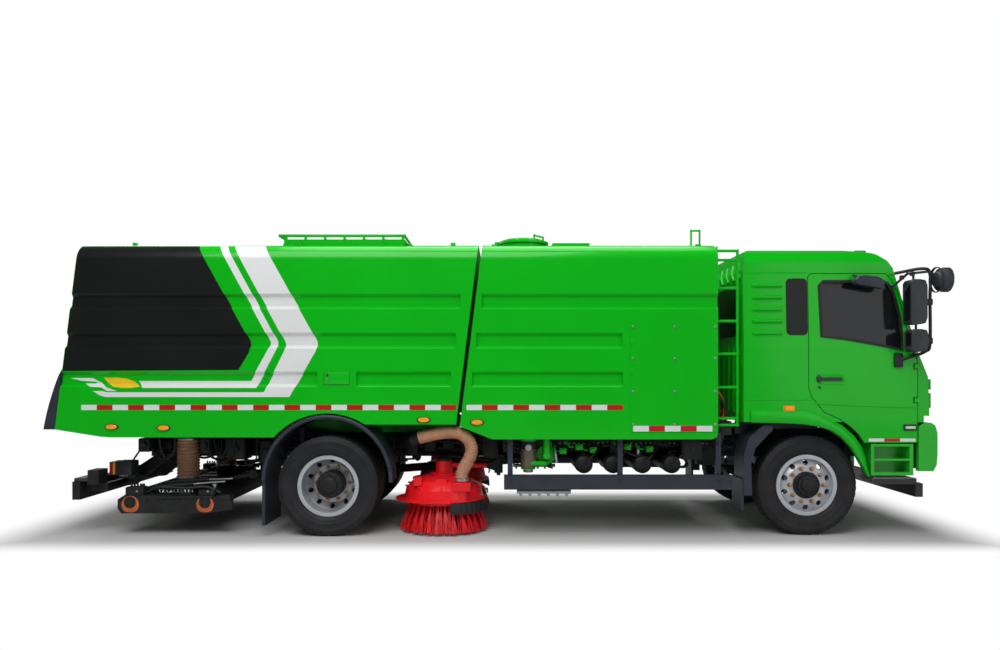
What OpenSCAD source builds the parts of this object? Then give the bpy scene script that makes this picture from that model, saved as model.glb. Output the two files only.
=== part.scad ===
// Street sweeper truck, full size. X forward, Y left, Z up, millimetres, ground at Z = 0.

/* [Overall] */
// Distance between front and rear axle
wheelbase = 4700; // [4000:10:5700]
// Width over the hopper and tank bodies
body_width = 2500; // [2200:10:3000]
// Height of the hopper and tank roofs
body_top = 2850; // [2500:10:3420]
// Thickness of the hopper and tank walls
body_wall = 60; // [40:1:80]

/* [Chassis] */
// Underside of the frame rails
rail_bottom = 708; // [650:1:760]
// Height of the frame rails
rail_height = 250; // [200:1:250]
// Width over the frame rails
frame_width = 860; // [780:5:900]
// Sheet thickness of the frame rails
rail_sheet = 8; // [6:1:12]
// Diameter of the hopper tipping shaft
tip_shaft = 60; // [40:1:72]
// Diameter of the kingpins
kingpin = 40; // [28:1:48]

/* [Wheels] */
// Outside diameter of the tyres
tyre_diameter = 980; // [900:5:1010]
// Width of one tyre
tyre_width = 275; // [230:1:300]
// Seat diameter of the rims
rim_diameter = 572; // [480:1:600]
// Number of wheel studs
wheel_studs = 10; // [6:1:12]

/* [Brushes] */
// Diameter over the bristle tips
brush_diameter = 890; // [740:5:960]
// Length of the bristles
bristle_length = 280; // [220:5:300]

/* [Cab] */
// Width over the cab sides
cab_width = 2460; // [2300:10:2500]
// Thickness of the cab walls
cab_wall = 50; // [40:1:60]
// Thickness of the window glass
glass = 6; // [4:1:8]

/* [Hidden] */
$fn = 48;
half = body_width / 2;
cab_half = cab_width / 2;
wheel_r = tyre_diameter / 2;
front_x = 3095;
rear_x = front_x - wheelbase;
rail_top = rail_bottom + rail_height;
rail_y = frame_width / 2;
rail_flange = 80;
frame_front = 4000;
frame_rear = rear_x - 2045;
front_track_y = 1020;
king_y = 900;
tie_x = -190;
tie_y = king_y;
dual_out_y = 1085;
dual_in_y = dual_out_y - tyre_width - 40;
spring_y = rail_y - rail_flange / 2;
manhole_x = 313;
manhole_y = -700;
lid_hinge_x = 46;
floor_z = 1210;
tip_x = rear_x - 1995;
tip_z = rail_top - 8;
barrel_x = rear_x + 255;
barrel_z = 870;
ram_y = rail_y + 110;
rod_x = rear_x - 795;
rod_z = 1040;
swing_x = rear_x + 1665;
swing_y = 720;
lift_x = swing_x - 90;
lift_z = 640;
brush_x = rear_x + 1105;
brush_y = 800;
brush_root_r = brush_diameter / 2 - 95;
arm_x = rear_x - 845;
arm_z = 560;
arm_y = 800;
shoe_x = rear_x - 1495;
shoe_z = 440;
roller_z = 323;
roller_r = 95;
roller_back = shoe_x - 467;
roller_fore = shoe_x + 270;
cab_pivot_x = 4180;
cab_pivot_z = 1150;
door_pin_x = 4118;
fit = 0.6;

green = [0.05, 0.70, 0.10];
dark = [0.10, 0.11, 0.12];
slate = [0.20, 0.22, 0.27];
steel = [0.62, 0.64, 0.68];
rubber = [0.13, 0.14, 0.16];
red = [0.86, 0.08, 0.12];
tinted = [0.20, 0.23, 0.26];
hose_brown = [0.68, 0.43, 0.30];

// Extrudes an X-Z outline from y0 to y1.
module along_y(y0, y1) {
    translate([0, y1, 0])
        rotate([90, 0, 0])
            linear_extrude(y1 - y0)
                children();
}

// Extrudes a Y-Z outline from x0 to x1.
module along_x(x0, x1) {
    translate([x0, 0, 0])
        rotate([90, 0, 90])
            linear_extrude(x1 - x0)
                children();
}

// Draws its children on both sides of the centre plane.
module both() {
    children();
    mirror([0, 1, 0])
        children();
}

module right_side() {
    mirror([0, 1, 0])
        children();
}

module block(x0, x1, y0, y1, z0, z1) {
    translate([x0, y0, z0])
        cube([x1 - x0, y1 - y0, z1 - z0]);
}

module pin_y(x, z, r, y0, y1) {
    translate([x, y1, z])
        rotate([90, 0, 0])
            cylinder(h = y1 - y0, r = r);
}

module pin_x(y, z, r, x0, x1) {
    translate([x0, y, z])
        rotate([0, 90, 0])
            cylinder(h = x1 - x0, r = r);
}

module pin_z(x, y, r, z0, z1) {
    translate([x, y, z0])
        cylinder(h = z1 - z0, r = r);
}

// Round bar between two points.
module bar(a, b, r) {
    v = b - a;
    l = norm(v);
    translate(a)
        rotate([0, acos(v[2] / l), atan2(v[1], v[0])])
            cylinder(h = l, r = r);
}

// Extra length that closes the corner between two legs of a bent bar.
function corner(a, b, c, r) =
    let (u = (b - a) / norm(b - a), v = (c - b) / norm(c - b))
    0.92 * r * sqrt(max(0, 1 - u * v) / (1 + u * v));

// Twelve-sided bar through a list of points with mitred corners.
module bent_bar(points, r) {
    last = len(points) - 1;
    for (i = [1:last]) {
        a = points[i - 1];
        b = points[i];
        u = (b - a) / norm(b - a);
        before = i > 1 ? corner(points[i - 2], a, b, r) : 0;
        after = i < last ? corner(a, b, points[i + 1], r) : 0;
        bar(a - before * u, b + after * u, r, $fn = 12);
    }
}

module rounded_box(x0, x1, y0, y1, z0, z1, r) {
    along_y(y0, y1)
        translate([x0 + r, z0 + r])
            offset(r = r)
                square([x1 - x0 - 2 * r, z1 - z0 - 2 * r]);
}

module rail() {
    along_x(frame_rear, frame_front)
        polygon([[rail_y, rail_bottom], [rail_y, rail_top],
            [rail_y - rail_flange, rail_top],
            [rail_y - rail_flange, rail_top - rail_sheet],
            [rail_y - rail_sheet, rail_top - rail_sheet],
            [rail_y - rail_sheet, rail_bottom + rail_sheet],
            [rail_y - rail_flange, rail_bottom + rail_sheet],
            [rail_y - rail_flange, rail_bottom]]);
}

module cross_member(x) {
    inner = rail_y - rail_sheet / 2;
    block(x - 40, x + 40, -inner, inner, rail_bottom + 45, rail_bottom + 195);
}

// Chassis

module chassis_frame() {
    color(dark) {
        both()
            rail();
        for (x = [frame_rear + 60, rear_x - 800, rear_x + 560, rear_x + 1500,
                front_x - 900, frame_front - 60])
            cross_member(x);
        // Sills that carry the tank
        both()
            block(rear_x + 1500, 2150, rail_y - rail_flange, rail_y, rail_top - 1, 1010);
        // Tipping shaft of the hopper
        pin_y(tip_x, tip_z - 30, tip_shaft / 2, -rail_y - 110, rail_y + 110);
        // Carriers of the tipping cylinders
        both()
            pin_y(barrel_x, barrel_z, 25, rail_y - 4, ram_y + 32);
        // Swing posts of the side brushes
        both() {
            block(swing_x - 60, swing_x + 60, rail_y - 4, swing_y + 40, 722, 752);
            pin_z(swing_x, swing_y, 20, 540, 723);
        }
        // Pivot shaft of the suction nozzle arms
        both() {
            block(arm_x - 40, arm_x + 40, rail_y - 60, rail_y - 10, arm_z - 50, 640);
            block(arm_x - 65, arm_x + 10, rail_y - 60, rail_y - 10, 639, rail_bottom + 1);
        }
        pin_y(arm_x, arm_z, 22, -arm_y - 30, arm_y + 30);
        // Cab pivot and rear cab supports
        both() {
            block(frame_front - 90, frame_front, rail_y - 80, rail_y, rail_top - 1, cab_pivot_z);
            block(frame_front - 90, cab_pivot_x + 40, rail_y - 80, rail_y, cab_pivot_z - 80,
                cab_pivot_z - 40);
            block(cab_pivot_x - 30, cab_pivot_x + 30, rail_y - 80, rail_y,
                cab_pivot_z - 80, cab_pivot_z + 22);
        }
        both()
            pin_y(cab_pivot_x, cab_pivot_z, 18, rail_y - 40, rail_y + 90);
    }
}

module front_axle_beam() {
    color(dark) {
        both() {
            difference() {
                union() {
                    along_x(front_x - 40, front_x + 40)
                        polygon([[-1, wheel_r - 150], [560, wheel_r - 150],
                            [king_y - 90, wheel_r - 50], [king_y, wheel_r - 45],
                            [king_y, wheel_r + 45], [king_y - 130, wheel_r + 40],
                            [520, wheel_r - 60], [-1, wheel_r - 60]]);
                    pin_z(front_x, king_y, 40, wheel_r - 50, wheel_r + 50);
                }
                pin_z(front_x, king_y, kingpin / 2 + fit, 0, 999);
            }
        }
        // Spring seats
        both()
            block(front_x - 60, front_x + 60, spring_y - 45, spring_y + 45,
                wheel_r - 61, wheel_r - 40);
    }
}

module rear_axle_housing() {
    color(dark)
        translate([rear_x, 0, wheel_r]) {
            pin_y(0, 0, 85, -600, 600);
            pin_y(0, 0, 45, -1000, 1000);
            rotate([90, 0, 0])
                rotate_extrude()
                    polygon([[0, -150], [120, -150], [205, -90], [205, 90],
                        [120, 150], [0, 150]]);
            pin_x(0, 20, 70, 150, 330);
            both()
                block(-60, 60, spring_y - 45, spring_y + 45, 60, 100);
        }
}

// Leaf spring as stacked arched leaves with eyes, hangers and centre clamp.
module leaf_spring(x, seat_z, length, leaves, drop) {
    leaf = 14;
    for (i = [0:leaves - 1]) {
        l = length * (1 - 0.14 * i) / 2;
        rise = drop * (1 - 0.14 * i) * (1 - 0.14 * i);
        z = seat_z + leaf * (leaves - 1 - i);
        translate([x, 0, z])
            along_y(spring_y - 38, spring_y + 38)
                polygon([[-l, rise], [-l * 0.6, rise * 0.36], [0, 0],
                    [l * 0.6, rise * 0.36], [l, rise], [l, rise + leaf],
                    [l * 0.6, rise * 0.36 + leaf], [0, leaf + 0.1],
                    [-l * 0.6, rise * 0.36 + leaf], [-l, rise + leaf]]);
    }
    top = seat_z + leaf * leaves;
    for (s = [-1, 1]) {
        pin_y(x + s * length / 2, seat_z + leaf * (leaves - 1) + drop + 10, 26,
            spring_y - 38, spring_y + 38);
        block(x + s * length / 2 - 30, x + s * length / 2 + 30, spring_y - 38,
            spring_y + 38, seat_z + leaf * (leaves - 1) + drop + 10, rail_bottom);
    }
    block(x - 50, x + 50, spring_y - 42, spring_y + 42, seat_z, top + 20);
}

module leaf_springs() {
    color(dark)
        both() {
            leaf_spring(front_x, wheel_r - 40, 1400, 3, 115);
            leaf_spring(rear_x, wheel_r + 100, 1600, 5, 24);
        }
}

module drive_motor() {
    color(steel) {
        pin_x(0, 700, 160, 1250, 1850);
        block(1300, 1800, -200, 200, 620, 850);
        block(1210, 1260, -90, 90, 610, 790);
        both()
            block(1500, 1580, 199, rail_y - rail_sheet, 740, 800);
        bar([1215, 0, 700], [rear_x + 333.8, 0, wheel_r + 20], 45);
    }
}

module air_tanks() {
    tank_r = 88;
    color(dark)
        for (i = [0:3]) {
            x = rear_x + 2510 + i * 290;
            pin_y(x, 690, tank_r, -1090, -rail_y - 40);
            block(x - 14, x + 14, -1000, -rail_y, 775, 805);
            block(x - 14, x + 14, -rail_y - 60, -rail_y, 690, 790);
        }
}

module side_guards() {
    guard_z = 460;
    guard_y = 1150;
    color(slate)
        both() {
            block(rear_x + 1719, 2335, guard_y, half - 25, guard_z, guard_z + 140);
            for (x = [rear_x + 1780, 1250, 2210]) {
                block(x - 25, x + 25, half - body_wall - 52, half - body_wall - 2, guard_z + 130, 1010);
                block(x - 22, x + 22, rail_y, half - body_wall - 51, 860, 900);
            }
        }
}

module rear_underrun_guard() {
    back = rear_x - 2520;
    color(dark) {
        block(back, back + 77, -1150, 1150, 350, 527);
        both() {
            along_y(rail_y - 60, rail_y - 10)
                polygon([[back + 70, 380], [back + 300, 400], [back + 560, 620],
                    [frame_rear + 230, rail_bottom], [frame_rear + 20, rail_bottom],
                    [back + 330, 600], [back + 70, 500]]);
            // Lamp arms
            block(back + 76, back + 300, 1000, 1040, 420, 500);
            block(back + 180, back + 220, rail_y - 15, 1001, 430, 480);
            block(back + 150, back + 260, 960, 1150, 499, 640);
        }
    }
}

module fender_band(r, thick, start, end) {
    rotate([90, 0, 0])
        rotate_extrude(angle = end - start, start = start)
            translate([r, 0])
                square([thick, 600]);
}

module wheel_fenders() {
    arc_r = wheel_r + 110;
    flap_x = rear_x - arc_r;
    color(slate)
        both() {
            // Rear wheels
            translate([rear_x, half - 10, 552])
                fender_band(arc_r, 34, 12, 180);
            block(flap_x - 33, flap_x - 4, 640, half - 20, 110, 553);
            for (x = [rear_x - 380, rear_x + 380]) {
                block(x - 20, x + 20, rail_y, 660, 850, 885);
                block(x - 20, x + 20, 640, 660, 850, 1030);
            }
            // Front wheels
            along_y(883, cab_half - 10)
                polygon([[2450, 402], [2530, 402], [2520, 700], [2560, 860],
                    [2690, 1000], [2728, 1033], [2728, 1082], [2640, 1082],
                    [2500, 960], [2450, 800]]);
            block(2425, 2451, 890, cab_half - 20, 260, 560);
            block(2470, 2510, rail_y, 884, 860, 900);
        }
}

module front_bumper() {
    nose = 4329;
    color(green)
        difference() {
            along_y(-cab_half, cab_half)
                polygon([[4146, 640], [nose - 40, 640], [nose - 8, 700], [nose, 800],
                    [nose, 1010], [nose - 22, 1085], [nose - 60, 1110], [4200, 1110],
                    [4146, 1072]]);
            // Hollow back
            along_y(-cab_half + 60, cab_half - 60)
                polygon([[4100, 600], [nose - 110, 600], [nose - 75, 720], [nose - 60, 980],
                    [nose - 90, 1060], [4195, 1060], [4100, 1040]]);
            both()
                block(nose - 55, nose + 9, 760, 1060, 800, 960);
            block(nose - 55, nose + 9, -420, 420, 720, 840);
            // Room for the cab pivot arms
            both()
                block(4100, cab_pivot_x + 48, rail_y - 88, rail_y + 8, 1040, 1120);
        }
    color(dark) {
        both() {
            block(nose - 56, nose - 30, 752, 1068, 792, 968);
            block(frame_front - 20, nose - 60, rail_y - 70, rail_y - 20, 760, 900);
            block(4160, 4200, rail_y - 70, rail_y - 20, 500, 770);
        }
        block(nose - 58, nose - 40, -430, 430, 712, 848);
        block(4154, 4227, -1150, 1150, 378, 511);
    }
}

module cab_steps() {
    color(green)
        both()
            difference() {
                block(3686, 4098, 1010, cab_half - 8, 598, 905);
                block(3716, 4062, 1060, cab_half, 628, 740);
                block(3716, 4062, 1060, cab_half, 760, 880);
            }
    color(steel)
        both() {
            block(3702, 4117, 985, cab_half + 14, 515, 571);
            for (x = [3740, 4050])
                block(x, x + 24, 1015, 1045, 570, 599);
            block(3760, 3820, rail_y, 1011, 780, 830);
        }
}

// Front body with the water tank and the battery bay

body_front_x = 2191;
seam_lean = 217 / 1751;
seam_gap = 38;

function seam_x(z) = rear_x + 1254 + (z - 1095) * seam_lean;

function groove_points(z0, z1, depth) = [
    [half + 1, z0 - depth / 2], [half, z0], [half - depth, z0 + depth],
    [half - depth, z1 - depth], [half, z1], [half + 1, z1 + depth / 2]];

grooves = [[body_top - 636, body_top - 486], [body_top - 1018, body_top - 863],
    [body_top - 1391, body_top - 1241]];
groove_depth = 32;

module body_section(inset, bottom) {
    r = 150 - inset;
    w = half - inset;
    top = body_top - inset;
    translate([w - r, top - r])
        intersection() {
            circle(r = r);
            square(r + 1);
        }
    translate([-w + r, top - r])
        intersection() {
            circle(r = r);
            translate([-r - 1, 0])
                square(r + 1);
        }
    translate([-w, bottom])
        square([2 * w, top - r - bottom]);
    translate([-w + r, top - r - 1])
        square([2 * w - 2 * r, r + 1]);
}

// Grooves along both sides between a leaning back end and x1.
module side_grooves(backs, fronts) {
    for (i = [0:2])
        both()
            along_x(backs[i], fronts[i])
                polygon(groove_points(grooves[i][0], grooves[i][1], groove_depth));
}

bay_back = 1345;
bay_floor = 1030;

module water_tank() {
    color(green)
        difference() {
            intersection() {
                along_y(-half, half)
                    polygon([[seam_x(body_top) + seam_gap, body_top], [body_front_x - 45, body_top],
                        [body_front_x - 13, body_top - 13], [body_front_x, body_top - 45],
                        [body_front_x, 1011], [body_front_x - 18, 969],
                        [body_front_x - 60, 951], [0, 951], [seam_x(1076) + seam_gap, 1076]]);
                along_x(seam_x(900), body_front_x)
                    body_section(0, 900);
            }
            // Open underside between the skirts
            block(-2000, body_front_x + 1, -half + body_wall, half - body_wall, 900, 1010);
            side_grooves([seam_x(grooves[0][0]) + 110, seam_x(grooves[1][0]) + 105,
                seam_x(grooves[2][0]) + 110], [body_front_x + 1, 1262, 1266]);
            // Battery bay behind the panels
            block(bay_back, body_front_x - body_wall, -half - 1, half + 1, bay_floor, 2058);
            // Manhole
            pin_z(manhole_x, manhole_y, 210, body_top - 120, body_top + 1);
        }
    color(green) {
        // Manhole neck
        translate([manhole_x, manhole_y, 0])
            difference() {
                pin_z(0, 0, 240, body_top - 40, body_top + 60);
                pin_z(0, 0, 211, body_top - 121, body_top + 61);
            }
        block(608, 982, -900, -500, body_top - 1, body_top + 60);
        // Hinge lugs of the manhole lid
        for (y = [-760, -656])
            block(20, 66, y, y + 16, body_top - 1, body_top + 92);
        pin_y(lid_hinge_x, body_top + 74, 9, -775, -625);
    }
}

module access_panels() {
    color(green)
        both()
            difference() {
                block(1339, 2188, half, half + 6, 1024, 2064);
                for (x = [1354, 1748, 2141])
                    for (z = [1060, 1418, 1738, 2045])
                        pin_y(x + 20, z, 6, half - 9, half + 10);
            }
}

module battery_pack() {
    color(dark)
        both()
            for (z = [bay_floor, bay_floor + 340, bay_floor + 680])
                block(bay_back + 60, body_front_x - body_wall - 60, 60, half - 90, z, z + 300);
    color(steel)
        both()
            for (x = [bay_back + 120, body_front_x - body_wall - 180])
                block(x, x + 60, 50, 110, bay_floor, bay_floor + 990);
}

module climbing_ladder() {
    stile = 14;
    out_x = 2398;
    y = -1175;
    color(green) {
        bent_bar([[body_front_x, y, 1085], [out_x, y, 1085], [out_x, y, body_top - 60],
            [body_front_x, y, body_top - 60]], stile);
        for (z = [1151, 1455, 1781, 2102, 2424, 2700])
            pin_x(y, z, stile, body_front_x, out_x);
        // Grab hoop on the roof
        bent_bar([[1985, -1000, body_top], [1985, -1000, 3017], [2070, -1000, 3017],
            [2070, -1000, body_top]], 10);
    }
}

module control_box() {
    color(steel) {
        block(1868, 2060, -1130, -900, 743, 934);
        block(1886, 2042, -1140, -1129, 765, 912);
        block(1880, 1940, -901, -rail_y, 800, 840);
        block(1880, 1940, -1000, -960, 930, 1010);
    }
}

module water_pump() {
    color(steel) {
        pin_z(rear_x + 1960, -1050, 70, 640, 930);
        pin_z(rear_x + 1960, -1050, 84, 900, 945);
        block(rear_x + 1930, rear_x + 1990, -1050, -rail_y, 860, 900);
    }
    color(green) {
        pin_y(rear_x + 2140, 780, 95, -1000, -760);
        block(rear_x + 2080, rear_x + 2200, -980, -rail_y, 850, 900);
        bent_bar([[rear_x + 2140, -985, 780], [rear_x + 2140, -1110, 780],
            [rear_x + 2140, -1110, 1010]], 34);
        bent_bar([[rear_x + 1960, -1050, 700], [rear_x + 1960, -1100, 700],
            [rear_x + 2140, -1100, 700]], 26);
        bar([rear_x + 2140, -1100, 700], [rear_x + 2140, -985, 740], 26);
    }
}

module brush_hoses() {
    color(hose_brown)
        both()
            difference() {
                bent_bar([duct_joint, duct_joint + duct_run,
                    [rear_x + 1110, 1140, 1010], [rear_x + 1250, 1140, 950],
                    [duct_x, duct_y + 8, 800], [duct_x, duct_y, 544]], 59);
                pin_z(duct_x, duct_y, 48, 530, 740);
            }
}

module nozzle_hose() {
    color(hose_brown)
        both()
            difference() {
                pin_z(hose_x, hose_y, 112, 520, 900);
                pin_z(hose_x, hose_y, 100, 519, 901);
            }
}

// Hopper and its doors

skirt_z = 970;
door_bottom = 1065;

function back_x(z) = rear_x - 2639 + (z - 1047) * 227 / 1803;

module hopper_outline() {
    difference() {
        polygon([[back_x(body_top), body_top], [back_x(1047), 1047],
            [rear_x - 2189, skirt_z + 6], [rear_x - 2100, skirt_z], [rear_x + 340, skirt_z],
            [rear_x + 340, 1095], [seam_x(1095), 1095], [seam_x(body_top), body_top]]);
        translate([rear_x, 520])
            circle(r = wheel_r + 193);
    }
}

module hopper_cavity() {
    top = body_top - body_wall;
    intersection() {
        along_y(-half, half)
            polygon([[back_x(top) - 200, top], [back_x(floor_z) - 200, floor_z + 50],
                [seam_x(floor_z) - body_wall, floor_z + 50], [seam_x(top) - body_wall, top]]);
        along_x(back_x(900) - 300, seam_x(body_top))
            body_section(body_wall, floor_z + 50);
    }
}

lid_x0 = rear_x - 459;
lid_x1 = rear_x + 737;
lid_y0 = -1080;
lid_y1 = -80;
lid_pin_y = lid_y0 - 12;
lid_pin_z = body_top + 13;
door_hinge_x = back_x(body_top) - 33;
door_hinge_z = body_top - 50;

module hopper_shell() {
    inner = half - body_wall;
    color(green) {
        difference() {
            intersection() {
                along_y(-half, half)
                    hopper_outline();
                along_x(back_x(900) - 100, seam_x(body_top))
                    body_section(0, 900);
            }
            hopper_cavity();
            block(back_x(900) - 200, seam_x(1300), -inner, inner, 900, floor_z);
            // Seat of the rear door
            along_y(-inner, inner)
                polygon([[back_x(1000) - 90, 1000], [back_x(1000) + 72, 1000],
                    [back_x(1300) + 72, 1300], [back_x(1300) - 90, 1300]]);
            side_grooves([back_x(body_top) - 300, back_x(body_top) - 300, rear_x - 2700],
                [seam_x(grooves[0][0]) - 95, seam_x(grooves[1][0]) - 95, rear_x - 93]);
            both()
                along_x(rear_x + 287, seam_x(grooves[2][0]) - 95)
                    polygon(groove_points(grooves[2][0], grooves[2][1], groove_depth));
            // Loading hatch
            block(lid_x0 + 34, lid_x1 - 34, lid_y0 + 30, lid_y1 - 30, body_top - 200, body_top + 1);
        }
        // Hatch rim
        difference() {
            block(lid_x0 + 20, lid_x1 - 20, lid_y0 + 20, lid_y1 - 20, body_top - 10, body_top + 32);
            block(lid_x0 + 34, lid_x1 - 34, lid_y0 + 30, lid_y1 - 30, body_top - 20, body_top + 33);
        }
        for (x = [lid_x0 + 160, lid_x1 - 220])
            for (s = [-26, 14])
                block(x + s, x + s + 12, lid_pin_y - 9, lid_pin_y + 7, body_top - 1, lid_pin_z + 8);
        for (x = [lid_x0 + 160, lid_x1 - 220])
            pin_x(lid_pin_y, lid_pin_z, 4, x - 26, x + 26);
        // Lugs of the rear door
        for (y = [-900, -300, 300, 900])
            difference() {
                block(door_hinge_x - 16, door_hinge_x + 60, y - 12, y + 12,
                    body_top - body_wall + 1, door_hinge_z + 17);
                pin_y(door_hinge_x, door_hinge_z, 9 + fit, y - 13, y + 13);
            }
    }
    color(dark)
        both() {
            // Floor beams and tipping ears
            block(rear_x - 1900, seam_x(1300) - 70, rail_y - rail_flange, rail_y,
                rail_top + 6, floor_z + 1);
            difference() {
                along_y(rail_y + 20, rail_y + 95) {
                    translate([tip_x, tip_z - 30])
                        circle(r = 64);
                    polygon([[tip_x - 64, tip_z - 30], [tip_x + 64, tip_z - 30],
                        [tip_x + 140, floor_z + 1], [tip_x - 100, floor_z + 1]]);
                }
                pin_y(tip_x, tip_z - 30, tip_shaft / 2 + fit, 0, 999);
            }
            // Forks of the tipping cylinders
            for (y = [ram_y - 42, ram_y + 30])
                along_y(y, y + 12)
                    polygon([[rod_x - 50, rod_z - 40], [rod_x + 50, rod_z - 40],
                        [rod_x + 90, floor_z + 1], [rod_x - 90, floor_z + 1]]);
        }
}

module rear_door() {
    clear = body_wall + 7;
    color(slate) {
        intersection() {
            along_y(-half, half)
                polygon([[back_x(900) - 12, 900], [back_x(900) + 64, 900],
                    [back_x(body_top) + 64, body_top], [back_x(body_top) - 12, body_top]]);
            along_x(back_x(900) - 200, back_x(body_top) + 200)
                body_section(clear, door_bottom);
        }
        // Bumper trim along the bottom
        along_y(-half, half)
            polygon([[back_x(1605) - 7, 1605], [rear_x - 2724, 1047], [back_x(1047) - 7, 1047]]);
        // Hinge lugs and pins
        for (y = [-900, -300, 300, 900]) {
            for (s = [-36, 18])
                along_y(y + s, y + s + 18)
                    polygon([[door_hinge_x - 14, door_hinge_z - 60],
                        [door_hinge_x + 40, door_hinge_z - 60],
                        [door_hinge_x + 36, door_hinge_z - 24], [door_hinge_x + 20, door_hinge_z - 12],
                        [door_hinge_x + 12, door_hinge_z + 12],
                        [door_hinge_x - 14, door_hinge_z + 12]]);
            pin_y(door_hinge_x, door_hinge_z, 9, y - 36, y + 36);
        }
    }
}

module hopper_lid() {
    color(green) {
        difference() {
            block(lid_x0, lid_x1, lid_y0, lid_y1, body_top + 6, body_top + 68);
            block(lid_x0 + 12, lid_x1 - 12, lid_y0 + 12, lid_y1 - 12, body_top, body_top + 46);
        }
        block(lid_x0 + 60, lid_x1 - 60, lid_y0 + 60, lid_y1 - 60, body_top + 67, body_top + 75);
        for (x = [lid_x0 + 160, lid_x1 - 220])
            difference() {
                union() {
                    pin_x(lid_pin_y, lid_pin_z, 9, x - 9, x + 9);
                    block(x - 9, x + 9, lid_pin_y, lid_y0 + 1, lid_pin_z - 4, lid_pin_z + 40);
                }
                pin_x(lid_pin_y, lid_pin_z, 4 + fit, x - 10, x + 10);
            }
    }
}

module tank_lid() {
    color(green)
        difference() {
            union() {
                translate([manhole_x, manhole_y, body_top + 65])
                    rotate_extrude()
                        polygon([[0, 0], [262, 0], [262, 24], [200, 50], [90, 63], [0, 65]]);
                pin_y(lid_hinge_x, body_top + 74, 17, -738, -662);
                block(lid_hinge_x, 110, -738, -662, body_top + 66, body_top + 88);
                bent_bar([[520, manhole_y, body_top + 80], [520, manhole_y, body_top + 150],
                    [430, manhole_y, body_top + 172], [430, manhole_y, body_top + 90]], 10);
            }
            pin_y(lid_hinge_x, body_top + 74, 9 + fit, -750, -650);
            // Notches for the hinge lugs
            for (y = [-766, -662])
                block(20, 84, y, y + 28, body_top + 60, body_top + 95);
        }
}

module tip_barrels() {
    color(dark)
        both() {
            dx = rod_x - barrel_x;
            dz = rod_z - barrel_z;
            l = norm([dx, dz]);
            translate([barrel_x, ram_y, barrel_z])
                rotate([0, atan2(dx, dz), 0])
                    difference() {
                        union() {
                            pin_y(0, 0, 42, -30, 30);
                            cylinder(h = 60, r = 24);
                            translate([0, 0, 55])
                                cylinder(h = l - 160, r = 55);
                        }
                        pin_y(0, 0, 25 + fit, -60, 60);
                        translate([0, 0, 90])
                            cylinder(h = l, r = 22 + fit);
                        translate([0, 0, 90])
                            cylinder(h = l - 225, r = 45);
                    }
        }
}

module tip_rods() {
    color(steel)
        both() {
            dx = rod_x - barrel_x;
            dz = rod_z - barrel_z;
            l = norm([dx, dz]);
            translate([barrel_x, ram_y, barrel_z])
                rotate([0, atan2(dx, dz), 0])
                    difference() {
                        union() {
                            translate([0, 0, 96])
                                cylinder(h = 50, r = 45 - fit);
                            translate([0, 0, 140])
                                cylinder(h = l - 145, r = 22);
                            pin_y(0, l, 36, -25, 25);
                        }
                        pin_y(0, l, 18, -60, 60);
                    }
        }
}

// Cab

module cab_outline() {
    polygon([[2445, 1118], [4130, 1118], [4196, 1118],
        [4196, 1178], [4248, 1178], [4248, 1250], [4235, 1560], [4131, 1817],
        [3909, 2621], [3851, 2700], [3764, 2760], [3618, 2800], [3300, 2850],
        [2600, 2850], [2480, 2780], [2445, 2600]]);
}

module cab_cavity_outline() {
    polygon([[2445 + cab_wall, 1190], [4180, 1190], [4184, 1540], [4085, 1790],
        [3866, 2590], [3805, 2680], [3600, 2735], [3300, 2780], [2640, 2780],
        [2530, 2720], [2445 + cab_wall, 2580]]);
}

module cab_section(inset) {
    w = cab_half - inset;
    t = 2850 - inset;
    polygon([[-w, 800], [w, 800], [w, 1850], [w - 38, t - 170], [w - 85, t - 75],
        [w - 230, t - 32], [w - 500, t - 12], [0, t], [-w + 500, t - 12],
        [-w + 230, t - 32], [-w + 85, t - 75], [-w + 38, t - 170], [-w, 1850]]);
}

// Skin of the cab side between two depths, on the left.
module side_skin(outer, inner) {
    difference() {
        along_x(2400, 4300)
            difference() {
                cab_section(outer);
                cab_section(inner);
            }
        block(2300, 4400, -2000, 600, 0, 4000);
    }
}

module door_outline() {
    polygon([[3112, 1358], [3229, 1215], [3373, 1153], [3480, 1080], [3560, 1005],
        [3619, 918], [4133, 918], [4133, 1700], [4085, 1817], [4005, 2148], [3950, 2379],
        [3893, 2500], [3835, 2562], [3110, 2562], [3080, 2530], [3080, 1450]]);
}

module door_window_outline() {
    polygon([[3203, 1948], [3420, 1930], [3700, 1880], [3990, 1822], [3978, 2000],
        [3962, 2148], [3912, 2370], [3858, 2462], [3815, 2488], [3225, 2488],
        [3187, 2450]]);
}

module quarter_window_outline() {
    polygon([[2861, 2003], [2873, 1975], [2901, 1963], [3044, 1963], [3044, 2517],
        [2901, 2517], [2873, 2505], [2861, 2477]]);
}

screen_low = [4131, 1817];
screen_lean = [-222, 804];

// Windscreen opening between two depths below the sloped front.
module screen_band(out, depth, low, high) {
    a = screen_low + screen_lean * low;
    b = screen_low + screen_lean * high;
    polygon([a + [-out, 0], b + [-out, 0], b + [-depth, 0], a + [-depth, 0]]);
}

screen_half = 1110;
hinge_heights = [1330, 1660];

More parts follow.
